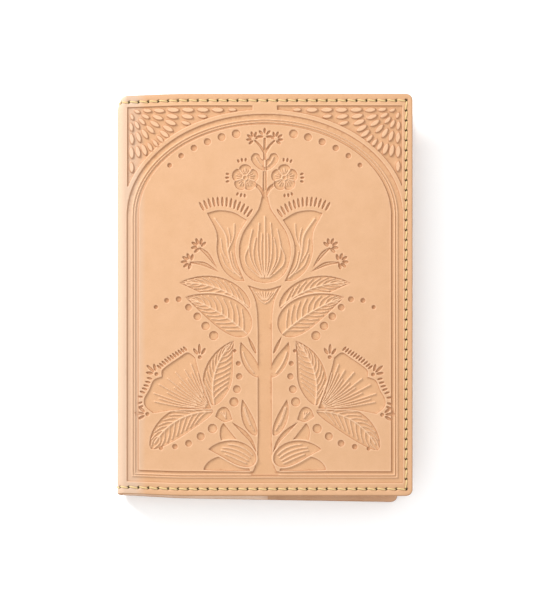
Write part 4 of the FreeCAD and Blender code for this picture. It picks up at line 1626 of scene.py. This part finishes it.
@dataclass
class Notebook:
    """The notebook in the pockets: card boards, a card spine and eight folded sections."""

    sections: int = 8
    turning: int = 5              # sections that turn with the front panel
    sheets: int = 6               # in each section
    sheet: float = 0.072
    corner: float = 4.0
    ragged: float = 0.16          # how unevenly the sheets are trimmed
    pieces: list[bpy.types.Object] = field(default_factory=list)

    def __post_init__(self) -> None:
        """Make the finishes: ivory writing paper, smooth and matt, and coarse grey-brown card."""
        self.paper = PaperFinish("ivory_writing_paper", "CFC9BA", "C2B9A4", 0.35).make()
        self.card = PaperFinish("brown_card", "A88A62", "8F6F4A", 0.6, 0.72).make()

    def dress_card(self) -> None:
        """Give the boards and the card spine, which keep their designed shapes, their finish."""
        for node in ("notebook_front_board", "notebook_back_board", "notebook_spine_card"):
            piece = bpy.data.objects[node]
            piece.data.materials.clear()
            piece.data.materials.append(self.card)
            self.pieces.append(piece)

    def section(self, number: int) -> bpy.types.Object:
        """One section: sheets folded one inside another.

        Args:
            number: Its number, from 1 at the top.

        Returns:
            The object.
        """
        node = f"page_section_{number}"
        low, high = (np.array(corner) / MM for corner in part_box(node))
        chance = np.random.default_rng(SEED + number)
        half, middle = (high[2] - low[2]) / 2, (high[2] + low[2]) / 2
        step = half / self.sheets
        inset = np.linspace(0.0, 1.0, 7)
        rise = self.corner * (1 - np.cos(inset * math.pi / 2))
        rows = np.concatenate([low[1] + rise, high[1] - rise[::-1]])
        beyond = np.clip(np.maximum(low[1] + self.corner - rows, rows - high[1] + self.corner), 0, None)
        cut = high[0] - self.corner + np.sqrt(np.maximum(self.corner ** 2 - beyond ** 2, 0))
        draft = MeshDraft()
        for index in range(self.sheets):
            outer = half - index * step
            inner = outer - self.sheet
            fold = low[0] + outer + index * step
            angle = np.linspace(math.pi / 2, 3 * math.pi / 2, 9)
            short = chance.uniform(0, self.ragged, 2)
            loop_x, loop_z = [], []
            for radius, turns, ends in ((outer, angle, short), (inner, angle[::-1], short[::-1])):
                first, last = (middle + radius * math.sin(turn) for turn in (turns[0], turns[-1]))
                loop_x += [cut - ends[0], cut * 0.5 + fold * 0.5]
                loop_z += [first, first]
                loop_x += [np.full(len(rows), fold + radius * math.cos(turn)) for turn in turns]
                loop_z += [middle + radius * math.sin(turn) for turn in turns]
                loop_x += [cut * 0.5 + fold * 0.5, cut - ends[1]]
                loop_z += [last, last]
            x = np.stack(loop_x, axis=1)
            z = np.broadcast_to(np.array(loop_z), x.shape)
            y = np.broadcast_to(rows[:, None], x.shape)
            grid = draft.add(np.stack([x, y, z], axis=-1) * MM)
            draft.skin(np.hstack([grid, grid[:, :1]]))
            draft.cap(grid[0], flip=True)
            draft.cap(grid[-1])
        piece = draft.make(f"leaves_{number}", self.paper)
        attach(piece, f"section_{number}" if number <= self.turning else "back_cover")
        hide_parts(node)
        return piece

    def build(self) -> None:
        """Build the sections and dress the card."""
        self.dress_card()
        for number in range(1, self.sections + 1):
            self.pieces.append(self.section(number))


@dataclass
class Studio:
    """The table, the soft light and the camera straight above."""

    table_size: float = 3.0       # metres, as are the other lengths here
    table_level: float = -0.0005  # clear of the thread under the cover
    camera_height: float = 1.2
    camera_place: tuple[float, float] = (0.0008, -0.0056)
    view_height: float = 0.2904   # seen at the cover's face, top to bottom
    film: float = 24.0            # height of the camera's film, in millimetres
    key_place: tuple[float, float, float] = (-0.70, 0.66, 0.55)
    key_power: float = 13.0
    key_size: float = 0.35
    fill: float = 1.2

    def build(self) -> None:
        """Set up the studio."""
        self.add_table()
        self.add_light()
        self.add_camera()
        bpy.context.scene.view_settings.view_transform = "Standard"

    def add_table(self) -> None:
        """Lay the table top just under the cover."""
        half, level = self.table_size / 2, self.table_level
        corners = [(x * half, y * half, level) for x, y in ((-1, -1), (1, -1), (1, 1), (-1, 1))]
        mesh = bpy.data.meshes.new("table_top")
        mesh.from_pydata(corners, [], [(0, 1, 2, 3)])
        mesh.materials.append(TableFinish().make())
        table = bpy.data.objects.new("table_top", mesh)
        bpy.context.scene.collection.objects.link(table)

    def add_light(self) -> None:
        """Hang a wide lamp up and to the left, and let white walls fill the shadows."""
        lamp = bpy.data.lights.new("key_lamp", "AREA")
        lamp.shape = "DISK"
        lamp.size = self.key_size
        lamp.energy = self.key_power
        key = bpy.data.objects.new("key_lamp", lamp)
        key.location = self.key_place
        key.rotation_euler = (-Vector(key.location)).to_track_quat("-Z", "Y").to_euler()
        bpy.context.scene.collection.objects.link(key)
        world = bpy.data.worlds.new("white_walls")
        world.use_nodes = True
        walls = world.node_tree.nodes["Background"]
        walls.inputs["Color"].default_value = (1.0, 1.0, 1.0, 1.0)
        walls.inputs["Strength"].default_value = self.fill
        bpy.context.scene.world = world

    def add_camera(self) -> None:
        """Hang the camera straight above, a little below the middle of the cover."""
        optics = bpy.data.cameras.new("camera")
        optics.sensor_fit = "VERTICAL"
        optics.sensor_height = self.film
        optics.lens = self.film * self.camera_height / self.view_height
        camera = bpy.data.objects.new("camera", optics)
        camera.location = (*self.camera_place, CAD_BOX[1][2] + self.camera_height)
        bpy.context.scene.collection.objects.link(camera)
        bpy.context.scene.camera = camera


def main() -> None:
    """Build the cover, its notebook and the studio, and report each piece."""
    logging.basicConfig(level=logging.INFO, format="%(name)s: %(message)s")
    for part in (Cover(), Notebook()):
        part.build()
        for piece in part.pieces:
            piece.data.calc_loop_triangles()
            LOG.info("%s: %d triangles", piece.name, len(piece.data.loop_triangles))
    Studio().build()


if __name__ == "__main__":
    main()
